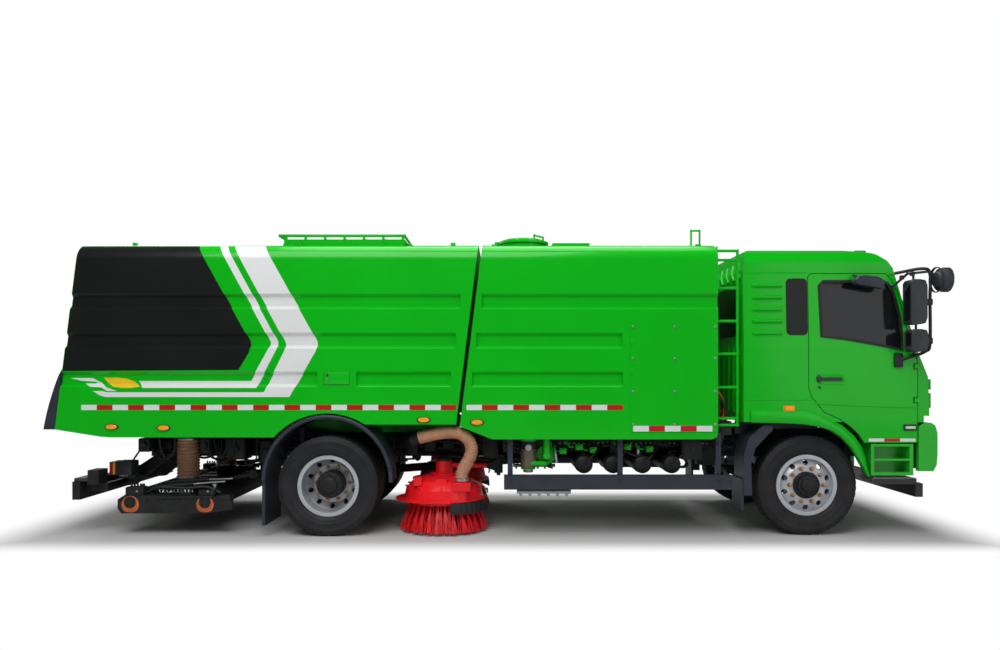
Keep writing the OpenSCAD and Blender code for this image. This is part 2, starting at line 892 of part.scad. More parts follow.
module cab_shell() {
    color(green)
        difference() {
            union() {
                intersection() {
                    along_y(-cab_half, cab_half)
                        cab_outline();
                    along_x(2400, 4300)
                        cab_section(0);
                }
                // Step wells under the doors
                both()
                    block(3660, 4124, 1020, cab_half - cab_wall - 12, 935, 1119);
                // Grille bar
                block(4230, 4285, -cab_half + 160, cab_half - 160, 1248, 1400);
                block(4230, 4285, -cab_half + 160, cab_half - 160, 1430, 1537);
            }
            intersection() {
                along_y(-cab_half, cab_half)
                    cab_cavity_outline();
                along_x(2400, 4300)
                    cab_section(cab_wall);
            }
            both()
                intersection() {
                    along_y(600, cab_half + 1)
                        offset(delta = 7)
                            door_outline();
                    side_skin(-1, cab_wall + 8);
                }
            both()
                block(3700, 4084, 1060, cab_half, 975, 1121);
            both()
                along_y(cab_half - 120, cab_half + 1)
                    quarter_window_outline();
            along_y(-screen_half, screen_half)
                screen_band(-60, 140, 0.03, 0.93);
            block(2440, 2500, -620, 620, 1980, 2430);
            // Room for the swinging edge of the door
            both()
                pin_z(door_pin_x, cab_half - 11, 18, 1700, 1780);
            // Front wheel arches
            pin_y(front_x, wheel_r, wheel_r + 134, -cab_half - 1, cab_half + 1);
            // Cab pivots
            both() {
                block(4143, 4290, rail_y - 88, rail_y + 8, 1100, 1188);
                block(3900, 4143, rail_y - 88, rail_y + 8, 1100, 1156);
                pin_y(cab_pivot_x, cab_pivot_z, 18 + fit, rail_y, rail_y + 98);
            }
        }
    // Door hinge lugs
    color(green)
        both()
            for (z = hinge_heights)
                difference() {
                    block(door_pin_x - 10, 4160, cab_half - 24, cab_half - 1, z - 20, z + 20);
                    pin_z(door_pin_x, cab_half - 11, 5 + fit, z - 21, z + 21);
                }
}

module cab_glass() {
    color(tinted) {
        both()
            intersection() {
                along_y(600, cab_half)
                    offset(delta = -0.5)
                        quarter_window_outline();
                side_skin(10, 10 + glass);
            }
        along_y(-screen_half + 0.5, screen_half - 0.5)
            screen_band(12, 12 + glass, 0.031, 0.929);
        block(2458, 2458 + glass, -619.5, 619.5, 1980.5, 2429.5);
    }
}

module door() {
    difference() {
        intersection() {
            along_y(600, cab_half)
                door_outline();
            side_skin(0, cab_wall);
        }
        along_y(cab_half - 160, cab_half + 1)
            door_window_outline();
        // Recess for the handle
        rounded_box(3150, 3424, cab_half - 14, cab_half + 1, 1490, 1580, 40);
        for (z = hinge_heights)
            block(door_pin_x - 26, 4140, cab_half - 36, cab_half + 1, z - 30, z + 30);
    }
    for (z = hinge_heights)
        pin_z(door_pin_x, cab_half - 11, 5, z - 31, z + 31);
    // Handle and inner trim
    rounded_box(3172, 3400, cab_half - 8, cab_half + 12, 1515, 1555, 18);
    for (x = [3185, 3380])
        block(x - 8, x + 8, cab_half - 15, cab_half, 1525, 1545);
    block(3250, 3900, cab_half - cab_wall - 40, cab_half - cab_wall + 1, 1560, 1640);
}

module door_left() {
    color(green)
        door();
}

module door_right() {
    color(green)
        right_side()
            door();
}

module door_glass() {
    color(tinted)
        intersection() {
            along_y(600, cab_half)
                offset(delta = -0.5)
                    door_window_outline();
            side_skin(18, 18 + glass);
        }
}

module door_glass_left() {
    door_glass();
}

module door_glass_right() {
    right_side()
        door_glass();
}

module mirrors() {
    y = 1395;
    // Outer face of the door at the upper arm, and the way it looks
    lean = 38 / (2850 - 170 - 1850);
    upper = [3896, cab_half - lean * (2440 - 1850), 2440];
    slant = [0, 1, lean] / norm([1, lean]);
    color(dark) {
        bent_bar([upper, upper + 45 * slant, [3955, y, 2540], [4150, y, 2560],
            [4230, y + 20, 2490]], 12);
        bent_bar([[4070, cab_half, 1770], [4070, cab_half + 40, 1770], [4045, y, 1860]], 12);
        pin_z(4010, y, 11, 2400, 2560);
        pin_z(4035, y, 11, 1950, 2120);
        rounded_box(3955, 4095, y - 80, y + 80, 2060, 2475, 28);
        rounded_box(3965, 4110, y - 72, y + 72, 1800, 2005, 28);
        translate([4252, y + 20, 2480])
            rotate([0, 90, 0])
                rotate_extrude()
                    polygon([[0, -50], [70, -42], [105, -12], [117, 30], [117, 76], [0, 76]]);
    }
}

module mirrors_left() {
    mirrors();
}

module mirrors_right() {
    right_side()
        mirrors();
}

module seats() {
    color(dark)
        both() {
            block(3000, 3480, 390, 910, 1340, 1470);
            block(3060, 3420, 450, 850, 1190, 1341);
            along_y(400, 900)
                polygon([[3000, 1440], [3110, 1440], [2940, 2110], [2850, 2110]]);
            along_y(520, 780)
                polygon([[2850, 2105], [2935, 2105], [2905, 2290], [2830, 2290]]);
        }
}

column_lean = 35.5;
column = [-sin(column_lean), 0, cos(column_lean)];
steering_centre = [3658, 650, 1774];

module dashboard() {
    color(dark) {
        along_y(-1100, 1100)
            polygon([[4160, 1400], [4150, 1560], [4070, 1740], [3930, 1770], [3800, 1690],
                [3790, 1560], [3900, 1480], [3960, 1400]]);
        block(3960, 4100, -200, 200, 1190, 1401);
        block(3200, 3600, -180, 180, 1190, 1420);
        along_y(560, 740)
            polygon([[3800, 1570], [3700, 1640], [3690, 1700], [3800, 1720]]);
        bar([3775, 650, 1610], steering_centre - 16 * column, 26);
    }
}

module steering_wheel() {
    color(dark)
        translate(steering_centre)
            rotate([0, -column_lean, 0]) {
                rotate_extrude()
                    translate([215, 0])
                        circle(r = 15);
                translate([0, 0, -16])
                    cylinder(h = 30, r = 62);
                for (a = [0, 120, 240])
                    rotate(a)
                        translate([50, -14, -8])
                            cube([155, 28, 16]);
            }
}

// Wheels and steering

seat_r = rim_diameter / 2;
flange_r = seat_r + 13;
well_r = seat_r - 24;
bolt_r = 168;
dual_mid_y = (dual_out_y + dual_in_y) / 2;
dual_half = (dual_out_y - dual_in_y) / 2;
rim_half = tyre_width * 0.38;

// Turns an outline of [radius, distance outboard] around the wheel axis.
module turn() {
    rotate([-90, 0, 0])
        rotate_extrude()
            children();
}

module rim_ring(y) {
    translate([0, y, 0])
        turn()
            polygon([[well_r, -rim_half], [flange_r, -rim_half], [flange_r, -rim_half + 9],
                [seat_r, -rim_half + 13], [seat_r, rim_half - 13], [flange_r, rim_half - 9],
                [flange_r, rim_half], [well_r, rim_half]]);
}

module tyre(y) {
    w = tyre_width / 2;
    bead = rim_half - 13;
    translate([0, y, 0])
        turn()
            polygon([[seat_r, -bead], [flange_r + 1, -bead - 2], [flange_r + 5, -bead - 14],
                [flange_r + 35, -w + 10], [wheel_r - 95, -w], [wheel_r - 45, -w + 3],
                [wheel_r - 14, -w + 16], [wheel_r, -w + 34], [wheel_r, w - 34],
                [wheel_r - 14, w - 16], [wheel_r - 45, w - 3], [wheel_r - 95, w],
                [flange_r + 35, w - 10], [flange_r + 5, bead + 14],
                [flange_r + 1, bead + 2], [seat_r, bead]]);
}

module stud_ring(r, bolt_radius, y0, y1) {
    for (i = [0:wheel_studs - 1])
        rotate([0, i * 360 / wheel_studs, 0])
            pin_y(bolt_radius, 0, r, y0, y1);
}

module front_rim() {
    color(steel) {
        rim_ring(0);
        difference() {
            turn()
                polygon([[100, 70], [100, 88], [192, 88], [250, 56], [well_r + 1, 52],
                    [well_r + 1, 30], [240, 36], [188, 70]]);
            rotate([0, 18, 0])
                stud_ring(27, 220, 20, 100);
        }
        stud_ring(14, bolt_r, 87, 116);
    }
    // Hub, cap and brake drum
    color(dark)
        turn()
            polygon([[35 + fit, -50], [62, -50], [62, 18], [188, 18], [188, -50], [206, -50],
                [206, 38], [106, 38], [106, 100], [80, 100], [78, 128], [50, 150], [0, 156],
                [0, 84], [35 + fit, 84]]);
}

module rear_rims() {
    color(steel) {
        for (s = [-1, 1]) {
            rim_ring(s * dual_half);
        }
        difference() {
            union()
                for (s = [0, 1])
                    mirror([0, s, 0])
                        turn()
                            polygon([[100, 0], [100, 16], [192, 16], [well_r + 1, 74],
                                [well_r + 1, 56], [198, 0]]);
            rotate([0, 18, 0])
                stud_ring(24, 228, -90, 90);
        }
        stud_ring(14, bolt_r, 15, 44);
    }
    color(dark)
        turn()
            polygon([[45 + fit, -100], [106, -100], [106, -60], [188, -60], [188, -230],
                [206, -230], [206, -42], [106, -42], [106, 60], [84, 60], [82, 176],
                [60, 194], [0, 200], [0, 80], [45 + fit, 80]]);
}

module front_rim_left() {
    translate([front_x, front_track_y, wheel_r])
        front_rim();
}

module front_rim_right() {
    right_side()
        front_rim_left();
}

module front_tyre_left() {
    color(rubber)
        translate([front_x, front_track_y, wheel_r])
            tyre(0);
}

module front_tyre_right() {
    right_side()
        front_tyre_left();
}

module rear_rims_left() {
    translate([rear_x, dual_mid_y, wheel_r])
        rear_rims();
}

module rear_rims_right() {
    right_side()
        rear_rims_left();
}

module rear_tyres_left() {
    color(rubber)
        translate([rear_x, dual_mid_y, wheel_r]) {
            tyre(dual_half);
            tyre(-dual_half);
        }
}

module rear_tyres_right() {
    right_side()
        rear_tyres_left();
}

module knuckle() {
    z = wheel_r;
    color(dark) {
        for (s = [-90, 56]) {
            pin_z(front_x, king_y, 42, z + s, z + s + 34);
            block(front_x - 42, front_x + 42, king_y, king_y + 50, z + s, z + s + 34);
        }
        pin_z(front_x, king_y, kingpin / 2, z - 90, z + 90);
        block(front_x - 50, front_x + 50, king_y + 47, king_y + 60, z - 90, z + 90);
        pin_y(front_x, z, 35, king_y + 50, front_track_y + 80);
        // Steering arm and ball pin
        translate([front_x, 0, z - 90])
            linear_extrude(26)
                polygon([[20, king_y - 36], [20, king_y + 36], [tie_x - 6, tie_y + 24],
                    [tie_x - 24, tie_y], [tie_x - 6, tie_y - 24]]);
        pin_z(front_x + tie_x, tie_y, 10, z - 128, z - 89);
    }
}

module knuckle_left() {
    knuckle();
}

module knuckle_right() {
    right_side()
        knuckle();
}

module tie_rod() {
    z = wheel_r - 111;
    color(dark) {
        pin_y(front_x + tie_x, z, 15, -tie_y + 20, tie_y - 20);
        both()
            difference() {
                pin_z(front_x + tie_x, tie_y, 24, z - 14, z + 14);
                pin_z(front_x + tie_x, tie_y, 10 + fit, z - 15, z + 15);
            }
    }
}

// Side brushes

module brush_swing() {
    color(dark) {
        difference() {
            union() {
                pin_z(swing_x, swing_y, 44, 566, 716);
                for (y = [swing_y - 50, swing_y + 36])
                    along_y(y, y + 14)
                        polygon([[swing_x - 10, 580], [swing_x - 10, 710],
                            [lift_x + 10, lift_z + 34], [lift_x - 26, lift_z + 24],
                            [lift_x - 34, lift_z], [lift_x - 26, lift_z - 24],
                            [lift_x + 10, lift_z - 34]]);
            }
            pin_z(swing_x, swing_y, 20 + fit, 500, 800);
        }
        pin_y(lift_x, lift_z, 12, swing_y - 50, swing_y + 50);
    }
}

module brush_swing_left() {
    brush_swing();
}

module brush_swing_right() {
    right_side()
        brush_swing();
}

cover_z = 322;
duct_x = rear_x + 1301;
duct_y = 1100;
duct_joint = [rear_x + 885, 1100, 955];
duct_run = [100, 30, 45];

module brush_head() {
    color(red) {
        difference() {
            union() {
                translate([brush_x, brush_y, 0])
                    rotate_extrude()
                        polygon([[30, 548], [190, 548], [300, 506], [372, 430], [392, cover_z + 8],
                            [430, cover_z - 6], [430, cover_z + 4], [402, cover_z + 18],
                            [382, 434], [306, 514], [192, 557], [30, 557]]);
                pin_z(duct_x, duct_y, 62, 332, 540);
                pin_z(duct_x, duct_y, 47, 532, 600);
            }
            pin_z(duct_x, duct_y, 41, 331, 601);
        }
        difference() {
            pin_z(brush_x, brush_y, 130, 556, 576);
            pin_z(brush_x, brush_y, 25 + fit, 500, 640);
        }
    }
    color(dark) {
        difference() {
            pin_z(brush_x, brush_y, 84, 575, 700);
            pin_z(brush_x, brush_y, 25 + fit, 500, 640);
        }
        difference() {
            union() {
                pin_y(lift_x, lift_z, 26, swing_y - 30, swing_y + 30);
                bar([lift_x, swing_y, lift_z], [brush_x + 60, brush_y - 9, lift_z + 8], 27);
            }
            pin_y(lift_x, lift_z, 12 + fit, swing_y - 40, swing_y + 40);
        }
    }
}

module brush_head_left() {
    brush_head();
}

module brush_head_right() {
    right_side()
        brush_head();
}

module brush_disc() {
    tip_r = brush_diameter / 2;
    tip_z = 20;
    root_z = tip_z + bristle_length - 12;
    translate([brush_x, brush_y, 0]) {
        color(red) {
            rotate_extrude()
                polygon([[0, root_z - 2], [brush_root_r, root_z - 2], [brush_root_r, root_z + 18],
                    [60, root_z + 28], [0, root_z + 28]]);
            cylinder(h = 630, r = 25);
        }
        color(red)
            rotate_extrude()
                polygon([[brush_root_r - 150, root_z], [tip_r - 160, tip_z], [tip_r, tip_z],
                    [brush_root_r, root_z]]);
    }
}

module brush_disc_left() {
    brush_disc();
}

module brush_disc_right() {
    right_side()
        brush_disc();
}

// Suction nozzle behind the rear wheels

module nozzle_arms() {
    color(dark)
        both()
            difference() {
                union() {
                    pin_y(arm_x, arm_z, 44, arm_y - 20, arm_y + 20);
                    pin_y(shoe_x, shoe_z, 34, arm_y - 20, arm_y + 20);
                    bar([arm_x, arm_y, arm_z], [shoe_x, arm_y, shoe_z], 20);
                }
                pin_y(arm_x, arm_z, 22 + fit, arm_y - 21, arm_y + 21);
                pin_y(shoe_x, shoe_z, 14 + fit, arm_y - 21, arm_y + 21);
            }
}

nozzle_half = 1100;
hose_y = 600;
hose_x = shoe_x - 90;

module suction_nozzle() {
    back = roller_back + roller_r + 12;
    fore = roller_fore - roller_r - 12;
    color(dark) {
        difference() {
            block(back, fore, -nozzle_half, nozzle_half, 225, 390);
            block(back + 8, fore - 8, -nozzle_half + 8, nozzle_half - 8, 224, 382);
            both()
                pin_z(hose_x, hose_y, 100, 380, 400);
        }
        both() {
            difference() {
                pin_z(hose_x, hose_y, 112, 389, 520);
                pin_z(hose_x, hose_y, 100, 380, 521);
            }
            // Side plates with roller bearings
            along_y(nozzle_half + 12, nozzle_half + 26)
                polygon([[roller_back - 124, 260], [roller_back - 90, 212], [fore + 110, 212],
                    [roller_fore + 270, 250], [roller_fore + 270, 330], [roller_fore + 60, 386],
                    [roller_back - 60, 390], [roller_back - 124, 350]]);
            block(back + 20, fore - 20, nozzle_half - 1, nozzle_half + 13, 300, 380);
            for (x = [roller_back, roller_fore])
                pin_y(x, roller_z, 18, nozzle_half - 40, nozzle_half + 13);
            // Lugs of the lifting arms
            for (y = [arm_y - 37, arm_y + 25])
                along_y(y, y + 12)
                    polygon([[shoe_x - 60, 389], [shoe_x + 60, 389], [shoe_x + 24, shoe_z + 26],
                        [shoe_x - 24, shoe_z + 26]]);
            pin_y(shoe_x, shoe_z, 14, arm_y - 37, arm_y + 37);
        }
    }
}

module roller(x) {
    color([0.86, 0.40, 0.16])
        difference() {
            pin_y(x, roller_z, roller_r, -nozzle_half + 6, nozzle_half - 6);
            both()
                pin_y(x, roller_z, 18 + fit, nozzle_half - 45, nozzle_half);
        }
}

module roller_front() {
    roller(roller_fore);
}

module roller_rear() {
    roller(roller_back);
}

module suction_pipes() {
    color(steel)
        both() {
            difference() {
                union() {
                    pin_z(hose_x, hose_y, 115, 900, 1196);
                    block(hose_x - 60, hose_x + 60, rail_y, hose_y - 100, 905, 945);
                }
                pin_z(hose_x, hose_y, 104, 890, 1200);
            }
            bent_bar([duct_joint, duct_joint - 0.62 * duct_run, [rear_x + 665, 800, 890],
                [rear_x + 665, rail_y, 890]], 50);
        }
}

chassis_frame();
front_axle_beam();
rear_axle_housing();
leaf_springs();
drive_motor();
air_tanks();
side_guards();
rear_underrun_guard();
wheel_fenders();
front_bumper();
cab_steps();
water_tank();
access_panels();
battery_pack();
climbing_ladder();
control_box();
water_pump();
brush_hoses();
nozzle_hose();
suction_pipes();
cab_shell();
cab_glass();
seats();
dashboard();
steering_wheel();
door_left();
door_right();
door_glass_left();
door_glass_right();
mirrors_left();
mirrors_right();
hopper_shell();
rear_door();
hopper_lid();
tank_lid();
tip_barrels();
tip_rods();
knuckle_left();
knuckle_right();
tie_rod();
front_rim_left();
front_rim_right();
front_tyre_left();
front_tyre_right();
rear_rims_left();
rear_rims_right();
rear_tyres_left();
rear_tyres_right();
brush_swing_left();
brush_swing_right();
brush_head_left();
brush_head_right();
brush_disc_left();
brush_disc_right();
nozzle_arms();
suction_nozzle();
roller_front();
roller_rear();
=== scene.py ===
"""Street sweeper truck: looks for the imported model. X forward, Y left, Z up, metres."""
import math
import random

import bmesh
import bpy
from mathutils import Matrix, Vector


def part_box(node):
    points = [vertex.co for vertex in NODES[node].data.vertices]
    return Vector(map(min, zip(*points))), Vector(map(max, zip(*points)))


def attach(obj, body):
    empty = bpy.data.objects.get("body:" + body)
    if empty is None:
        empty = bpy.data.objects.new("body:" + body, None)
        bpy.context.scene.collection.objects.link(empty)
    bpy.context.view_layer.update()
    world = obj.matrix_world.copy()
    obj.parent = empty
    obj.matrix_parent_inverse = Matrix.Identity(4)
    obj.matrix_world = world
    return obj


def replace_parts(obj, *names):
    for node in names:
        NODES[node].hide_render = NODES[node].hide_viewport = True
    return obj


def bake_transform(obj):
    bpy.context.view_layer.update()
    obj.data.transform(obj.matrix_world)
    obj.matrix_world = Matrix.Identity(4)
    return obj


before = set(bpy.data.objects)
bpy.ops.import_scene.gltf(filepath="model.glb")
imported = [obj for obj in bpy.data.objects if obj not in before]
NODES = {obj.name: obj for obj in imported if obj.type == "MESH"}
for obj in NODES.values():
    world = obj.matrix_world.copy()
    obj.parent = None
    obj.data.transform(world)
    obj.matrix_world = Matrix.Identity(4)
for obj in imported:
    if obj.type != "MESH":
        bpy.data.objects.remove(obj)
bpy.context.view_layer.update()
random.seed(7)

# Driving dimensions: half widths from the frame, then the roof, the axles and shared places
HALF = -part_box("hopper_shell")[0].y
CAB_HALF = -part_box("cab_shell")[0].y
TOP = 2.85
WHEEL_R = 0.49
FRONT_X = 3.095
REAR_X = -1.605
LEAN = 0.217 / 1.751
BRUSH_X, BRUSH_Y = -0.5, 0.8
DUCT_X, DUCT_Y = -3.19, 0.6
ROLLER_X = (-3.567, -2.83)
MIRROR_Y = 1.395
FILTER_X, FILTER_Y = 0.355, -1.05
TANK_Z = 0.69
FENDER_Z = 0.552
SIDES = {"right": -1, "left": 1}
UP, DOWN, AHEAD = (0, 0, 1), (0, 0, -1), (1, 0, 0)


# Materials

def add_node(tree, kind, inputs=(), **settings):
    """Adds a shader node; each input takes a value or another node's output."""
    node = tree.nodes.new("ShaderNode" + kind)
    for key, value in settings.items():
        setattr(node, key, value)
    fill_node(tree, node, inputs)
    return node


def fill_node(tree, node, inputs):
    """Sets or links a node's inputs."""
    for socket, value in dict(inputs).items():
        if isinstance(value, bpy.types.NodeSocket):
            tree.links.new(value, node.inputs[socket])
        else:
            node.inputs[socket].default_value = value


def node_material(name, base, rough, metal=0.0, coat=0.0, shade=0.06, scale=3.0,
                  bump=0.0, bump_scale=60.0, dirt=0.0, alpha=1.0, glow=0.0, dark_below=None,
                  gleam=0.5):
    """Principled material with cloudy colour, uneven roughness, fine bump and dust near the road."""
    m = bpy.data.materials.new(name)
    m.use_nodes = True
    tree = m.node_tree
    shader = tree.nodes["Principled BSDF"]
    place = add_node(tree, "TexCoord").outputs["Object"]
    cloud = add_node(tree, "TexNoise", {"Scale": scale, "Detail": 5, "Vector": place})
    ramp = add_node(tree, "ValToRGB", {"Fac": cloud.outputs["Fac"]})
    for stop, where, tint in zip(ramp.color_ramp.elements, (0.3, 0.7), (1 - shade, 1 + shade)):
        stop.position = where
        stop.color = (*[min(1, c * tint) for c in base], 1)
    colour = ramp.outputs["Color"]
    if dirt:
        split = add_node(tree, "SeparateXYZ", {"Vector": place})
        height = add_node(tree, "MapRange", {"From Min": 1.1, "From Max": 0.1, "To Max": dirt,
                                             "Value": split.outputs["Z"]})
        spots = add_node(tree, "Math", {0: height.outputs["Result"], 1: cloud.outputs["Fac"]},
                         operation="MULTIPLY")
        mix = add_node(tree, "Mix", data_type="RGBA")
        fill_node(tree, mix, {"B": (0.16, 0.145, 0.125, 1), "Factor": spots.outputs["Value"],
                              "A": colour})
        colour = mix.outputs["Result"]
    if dark_below is not None:
        level = add_node(tree, "SeparateXYZ", {"Vector": place})
        under = add_node(tree, "Math", {0: level.outputs["Z"], 1: dark_below},
                         operation="LESS_THAN")
        paint = add_node(tree, "Mix", data_type="RGBA")
        fill_node(tree, paint, {"B": (0.015, 0.016, 0.019, 1), "Factor": under.outputs["Value"],
                                "A": colour})
        colour = paint.outputs["Result"]
    grain = add_node(tree, "TexNoise", {"Scale": bump_scale, "Detail": 4, "Vector": place})
    spread = add_node(tree, "MapRange", {"To Min": max(0.02, rough - 0.07),
                                         "To Max": rough + 0.07, "Value": grain.outputs["Fac"]})
    fill_node(tree, shader, {
        "Metallic": metal, "Coat Weight": coat, "Coat Roughness": 0.08, "Alpha": alpha,
        "Specular IOR Level": gleam, "Base Color": colour, "Roughness": spread.outputs["Result"]})
    if bump:
        relief = add_node(tree, "Bump", {"Strength": 0.5, "Distance": bump,
                                         "Height": grain.outputs["Fac"]})
        fill_node(tree, shader, {"Normal": relief.outputs["Normal"]})
    if glow:
        fill_node(tree, shader, {"Emission Color": (*base, 1), "Emission Strength": glow})
    return m


GREEN = (0.002, 0.47, 0.008)
MAT = {
    "green": node_material("green_paint", GREEN, 0.24, coat=0.22, shade=0.05, scale=1.2,
                           bump=0.0004, bump_scale=220, dirt=0.16, gleam=0.22),
    "step": node_material("step_paint", GREEN, 0.26, coat=0.3, shade=0.05, scale=1.2,
                          bump=0.0004, bump_scale=220, dirt=0.25, dark_below=0.575),
    "black": node_material("graphic_black", (0.010, 0.011, 0.011), 0.30, coat=0.15, shade=0.2,
                           scale=1.0, bump=0.0002, bump_scale=200, gleam=0.2),
    "white": node_material("graphic_white", (0.78, 0.80, 0.80), 0.28, coat=0.3, shade=0.03,
                           scale=2.0, bump=0.0002, bump_scale=200),
    "yellow": node_material("graphic_yellow", (0.85, 0.55, 0.02), 0.3, coat=0.3, shade=0.1,
                            scale=9.0, bump=0.0002, bump_scale=200),
    "slate": node_material("slate_paint", (0.026, 0.030, 0.046), 0.42, shade=0.15, scale=4.0,
                           bump=0.0004, bump_scale=150, dirt=0.12, gleam=0.4),
    "frame": node_material("frame_black", (0.010, 0.011, 0.013), 0.5, shade=0.3, scale=6.0,
                           bump=0.0008, bump_scale=90, dirt=0.12, gleam=0.3),
    "plastic": node_material("moulded_plastic", (0.028, 0.031, 0.038), 0.5, shade=0.2,
                             scale=8.0, bump=0.0006, bump_scale=320, dirt=0.2),
    "rubber": node_material("tyre_rubber", (0.010, 0.0105, 0.014), 0.62, shade=0.25, scale=7.0,
                            bump=0.0008, bump_scale=160, dirt=0.12, gleam=0.35),
    "seal": node_material("rubber_seal", (0.012, 0.012, 0.014), 0.55, shade=0.2, scale=20.0,
                          bump=0.0003, bump_scale=200),
    "steel": node_material("brushed_steel", (0.50, 0.52, 0.56), 0.32, metal=0.9, shade=0.12,
                           scale=9.0, bump=0.0004, bump_scale=180, dirt=0.15),
    "rim": node_material("rim_silver", (0.56, 0.58, 0.63), 0.36, metal=0.45, shade=0.08,
                         scale=9.0, bump=0.0004, bump_scale=160, dirt=0.12),
    "alloy": node_material("tread_aluminium", (0.60, 0.61, 0.63), 0.38, metal=0.85, shade=0.12,
                           scale=14.0, bump=0.0012, bump_scale=120),
    "brass": node_material("brass_nut", (0.52, 0.31, 0.13), 0.34, metal=0.85, shade=0.15,
                           scale=30.0, bump=0.0003, bump_scale=200),
    "mirror": node_material("mirror_glass", (0.82, 0.84, 0.86), 0.04, metal=1.0, shade=0.01,
                            scale=2.0),
    "glass": node_material("tinted_glass", (0.006, 0.008, 0.010), 0.05, coat=0.2, shade=0.1,
                           scale=1.5, alpha=0.80, gleam=0.4),
    # Opaque near-black pane: painted shade in place of the dark cab interior seen through the glass.
    "black_glass": node_material("shade_black_glass", (0.004, 0.005, 0.006), 0.08, coat=0.0,
                                 shade=0.1, scale=1.5, gleam=0.25),
    "smoke": node_material("smoked_bowl", (0.10, 0.075, 0.055), 0.18, coat=0.5, shade=0.25,
                           scale=9.0, bump=0.0004, bump_scale=120),
    "lens": node_material("clear_lens", (0.60, 0.64, 0.68), 0.06, coat=0.8, shade=0.05,
                          scale=25.0, bump=0.001, bump_scale=90),
    "amber": node_material("amber_lens", (0.90, 0.33, 0.01), 0.16, coat=0.4, shade=0.12,
                           scale=40.0, bump=0.0008, bump_scale=150, glow=0.12),
    "tail": node_material("red_lens", (0.55, 0.008, 0.006), 0.16, coat=0.6, shade=0.12,
                          scale=40.0, bump=0.0008, bump_scale=150, glow=0.08),
    "tape_red": node_material("tape_red", (0.50, 0.003, 0.008), 0.3, shade=0.12, scale=60.0,
                              bump=0.0003, bump_scale=400),
    "tape_white": node_material("tape_white", (0.74, 0.76, 0.78), 0.3, shade=0.05, scale=60.0,
                                bump=0.0003, bump_scale=400),
    "red": node_material("brush_red", (0.92, 0.010, 0.018), 0.34, coat=0.15, shade=0.10,
                         scale=5.0, bump=0.0006, bump_scale=120, dirt=0.04, gleam=0.3),
    "bristle": node_material("bristle_red", (0.80, 0.012, 0.018), 0.5, shade=0.3, scale=30.0,
                             bump=0.0004, bump_scale=300),
    "hose": node_material("brown_hose", (0.50, 0.24, 0.14), 0.5, shade=0.16, scale=12.0,
                          bump=0.0006, bump_scale=160, dirt=0.2),
    "orange": node_material("orange_roller", (0.62, 0.13, 0.03), 0.5, shade=0.22, scale=14.0,
                            bump=0.001, bump_scale=90, dirt=0.25),
    "cable": node_material("orange_cable", (0.80, 0.17, 0.01), 0.42, shade=0.1, scale=20.0,
                           bump=0.0004, bump_scale=300),
    "fabric": node_material("seat_fabric", (0.035, 0.036, 0.042), 0.85, shade=0.3, scale=40.0,
                            bump=0.0012, bump_scale=500),
    "grey": node_material("grey_box", (0.30, 0.31, 0.33), 0.4, shade=0.1, scale=8.0,
                          bump=0.0004, bump_scale=150, dirt=0.2),
}

NODE_LOOKS = {
    "chassis_frame": "frame", "front_axle_beam": "frame", "rear_axle_housing": "frame",
    "leaf_springs": "frame", "drive_motor": "frame", "air_tanks": "frame",
    "side_guards": "slate", "rear_underrun_guard": "frame", "wheel_fenders": "slate",
    "front_bumper": "step", "cab_steps": "step", "water_tank": "green",
    "access_panels": "green", "battery_pack": "frame", "climbing_ladder": "green",
    "control_box": "frame", "water_pump": "green", "brush_hoses": "hose",
    "nozzle_hose": "hose", "suction_pipes": "frame", "cab_shell": "green",
    "cab_glass": "glass", "seats": "fabric", "dashboard": "plastic",
    "steering_wheel": "plastic", "hopper_shell": "green", "rear_door": "slate",
    "hopper_lid": "green", "tank_lid": "green", "tip_barrels": "frame",
    "tip_rods": "steel", "tie_rod": "frame", "nozzle_arms": "frame",
    "suction_nozzle": "frame", "roller_front": "rubber", "roller_rear": "rubber",
}
PAIR_LOOKS = {
    "door": "green", "door_glass": "glass", "mirrors": "plastic", "knuckle": "frame",
    "front_rim": "rim", "rear_rims": "rim", "front_tyre": "rubber",
    "rear_tyres": "rubber", "brush_swing": "frame", "brush_head": "red",
    "brush_disc": "bristle",
}


def dress_nodes():
    """Gives every CAD node its material."""
    for name, node in NODES.items():
        stem = name.removesuffix("_left").removesuffix("_right")
        look = NODE_LOOKS.get(name) or PAIR_LOOKS[stem]
        node.data.materials.clear()
        node.data.materials.append(MAT[look])


# Mesh helpers

def finish_mesh(name, bm, look, body, smooth=True, angle=35.0):
    """Turns a bmesh into a piece that rides on a body."""
    mesh = bpy.data.meshes.new(name)
    bm.normal_update()
    for face in bm.faces:
        face.smooth = smooth
    if smooth:
        limit = math.radians(angle)
        for edge in bm.edges:
            if len(edge.link_faces) == 2 and edge.calc_face_angle(0) > limit:
                edge.smooth = False
    bm.to_mesh(mesh)
    bm.free()
    for one in look if isinstance(look, (list, tuple)) else [look]:
        mesh.materials.append(MAT[one])
    piece = bpy.data.objects.new(name, mesh)
    bpy.context.scene.collection.objects.link(piece)
    if body:
        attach(piece, body)
    return piece


def around(count, radius=1.0, shift=0.0):
    """Even points on a circle, as pairs of offsets."""
    angles = [2 * math.pi * (i + shift) / count for i in range(count)]
    return [(radius * math.cos(a), radius * math.sin(a)) for a in angles]


def add_skin(bm, rings, slot=0, closed=True, ends=False):
    """Joins equal rows of vertices with faces, and closes the ends when asked."""
    count = len(rings[0])
    for low, high in zip(rings, rings[1:]):
        for i in range(count if closed else count - 1):
            j = (i + 1) % count
            bm.faces.new((low[i], low[j], high[j], high[i])).material_index = slot
    if ends:
        bm.faces.new(rings[0][::-1]).material_index = slot
        bm.faces.new(rings[-1]).material_index = slot


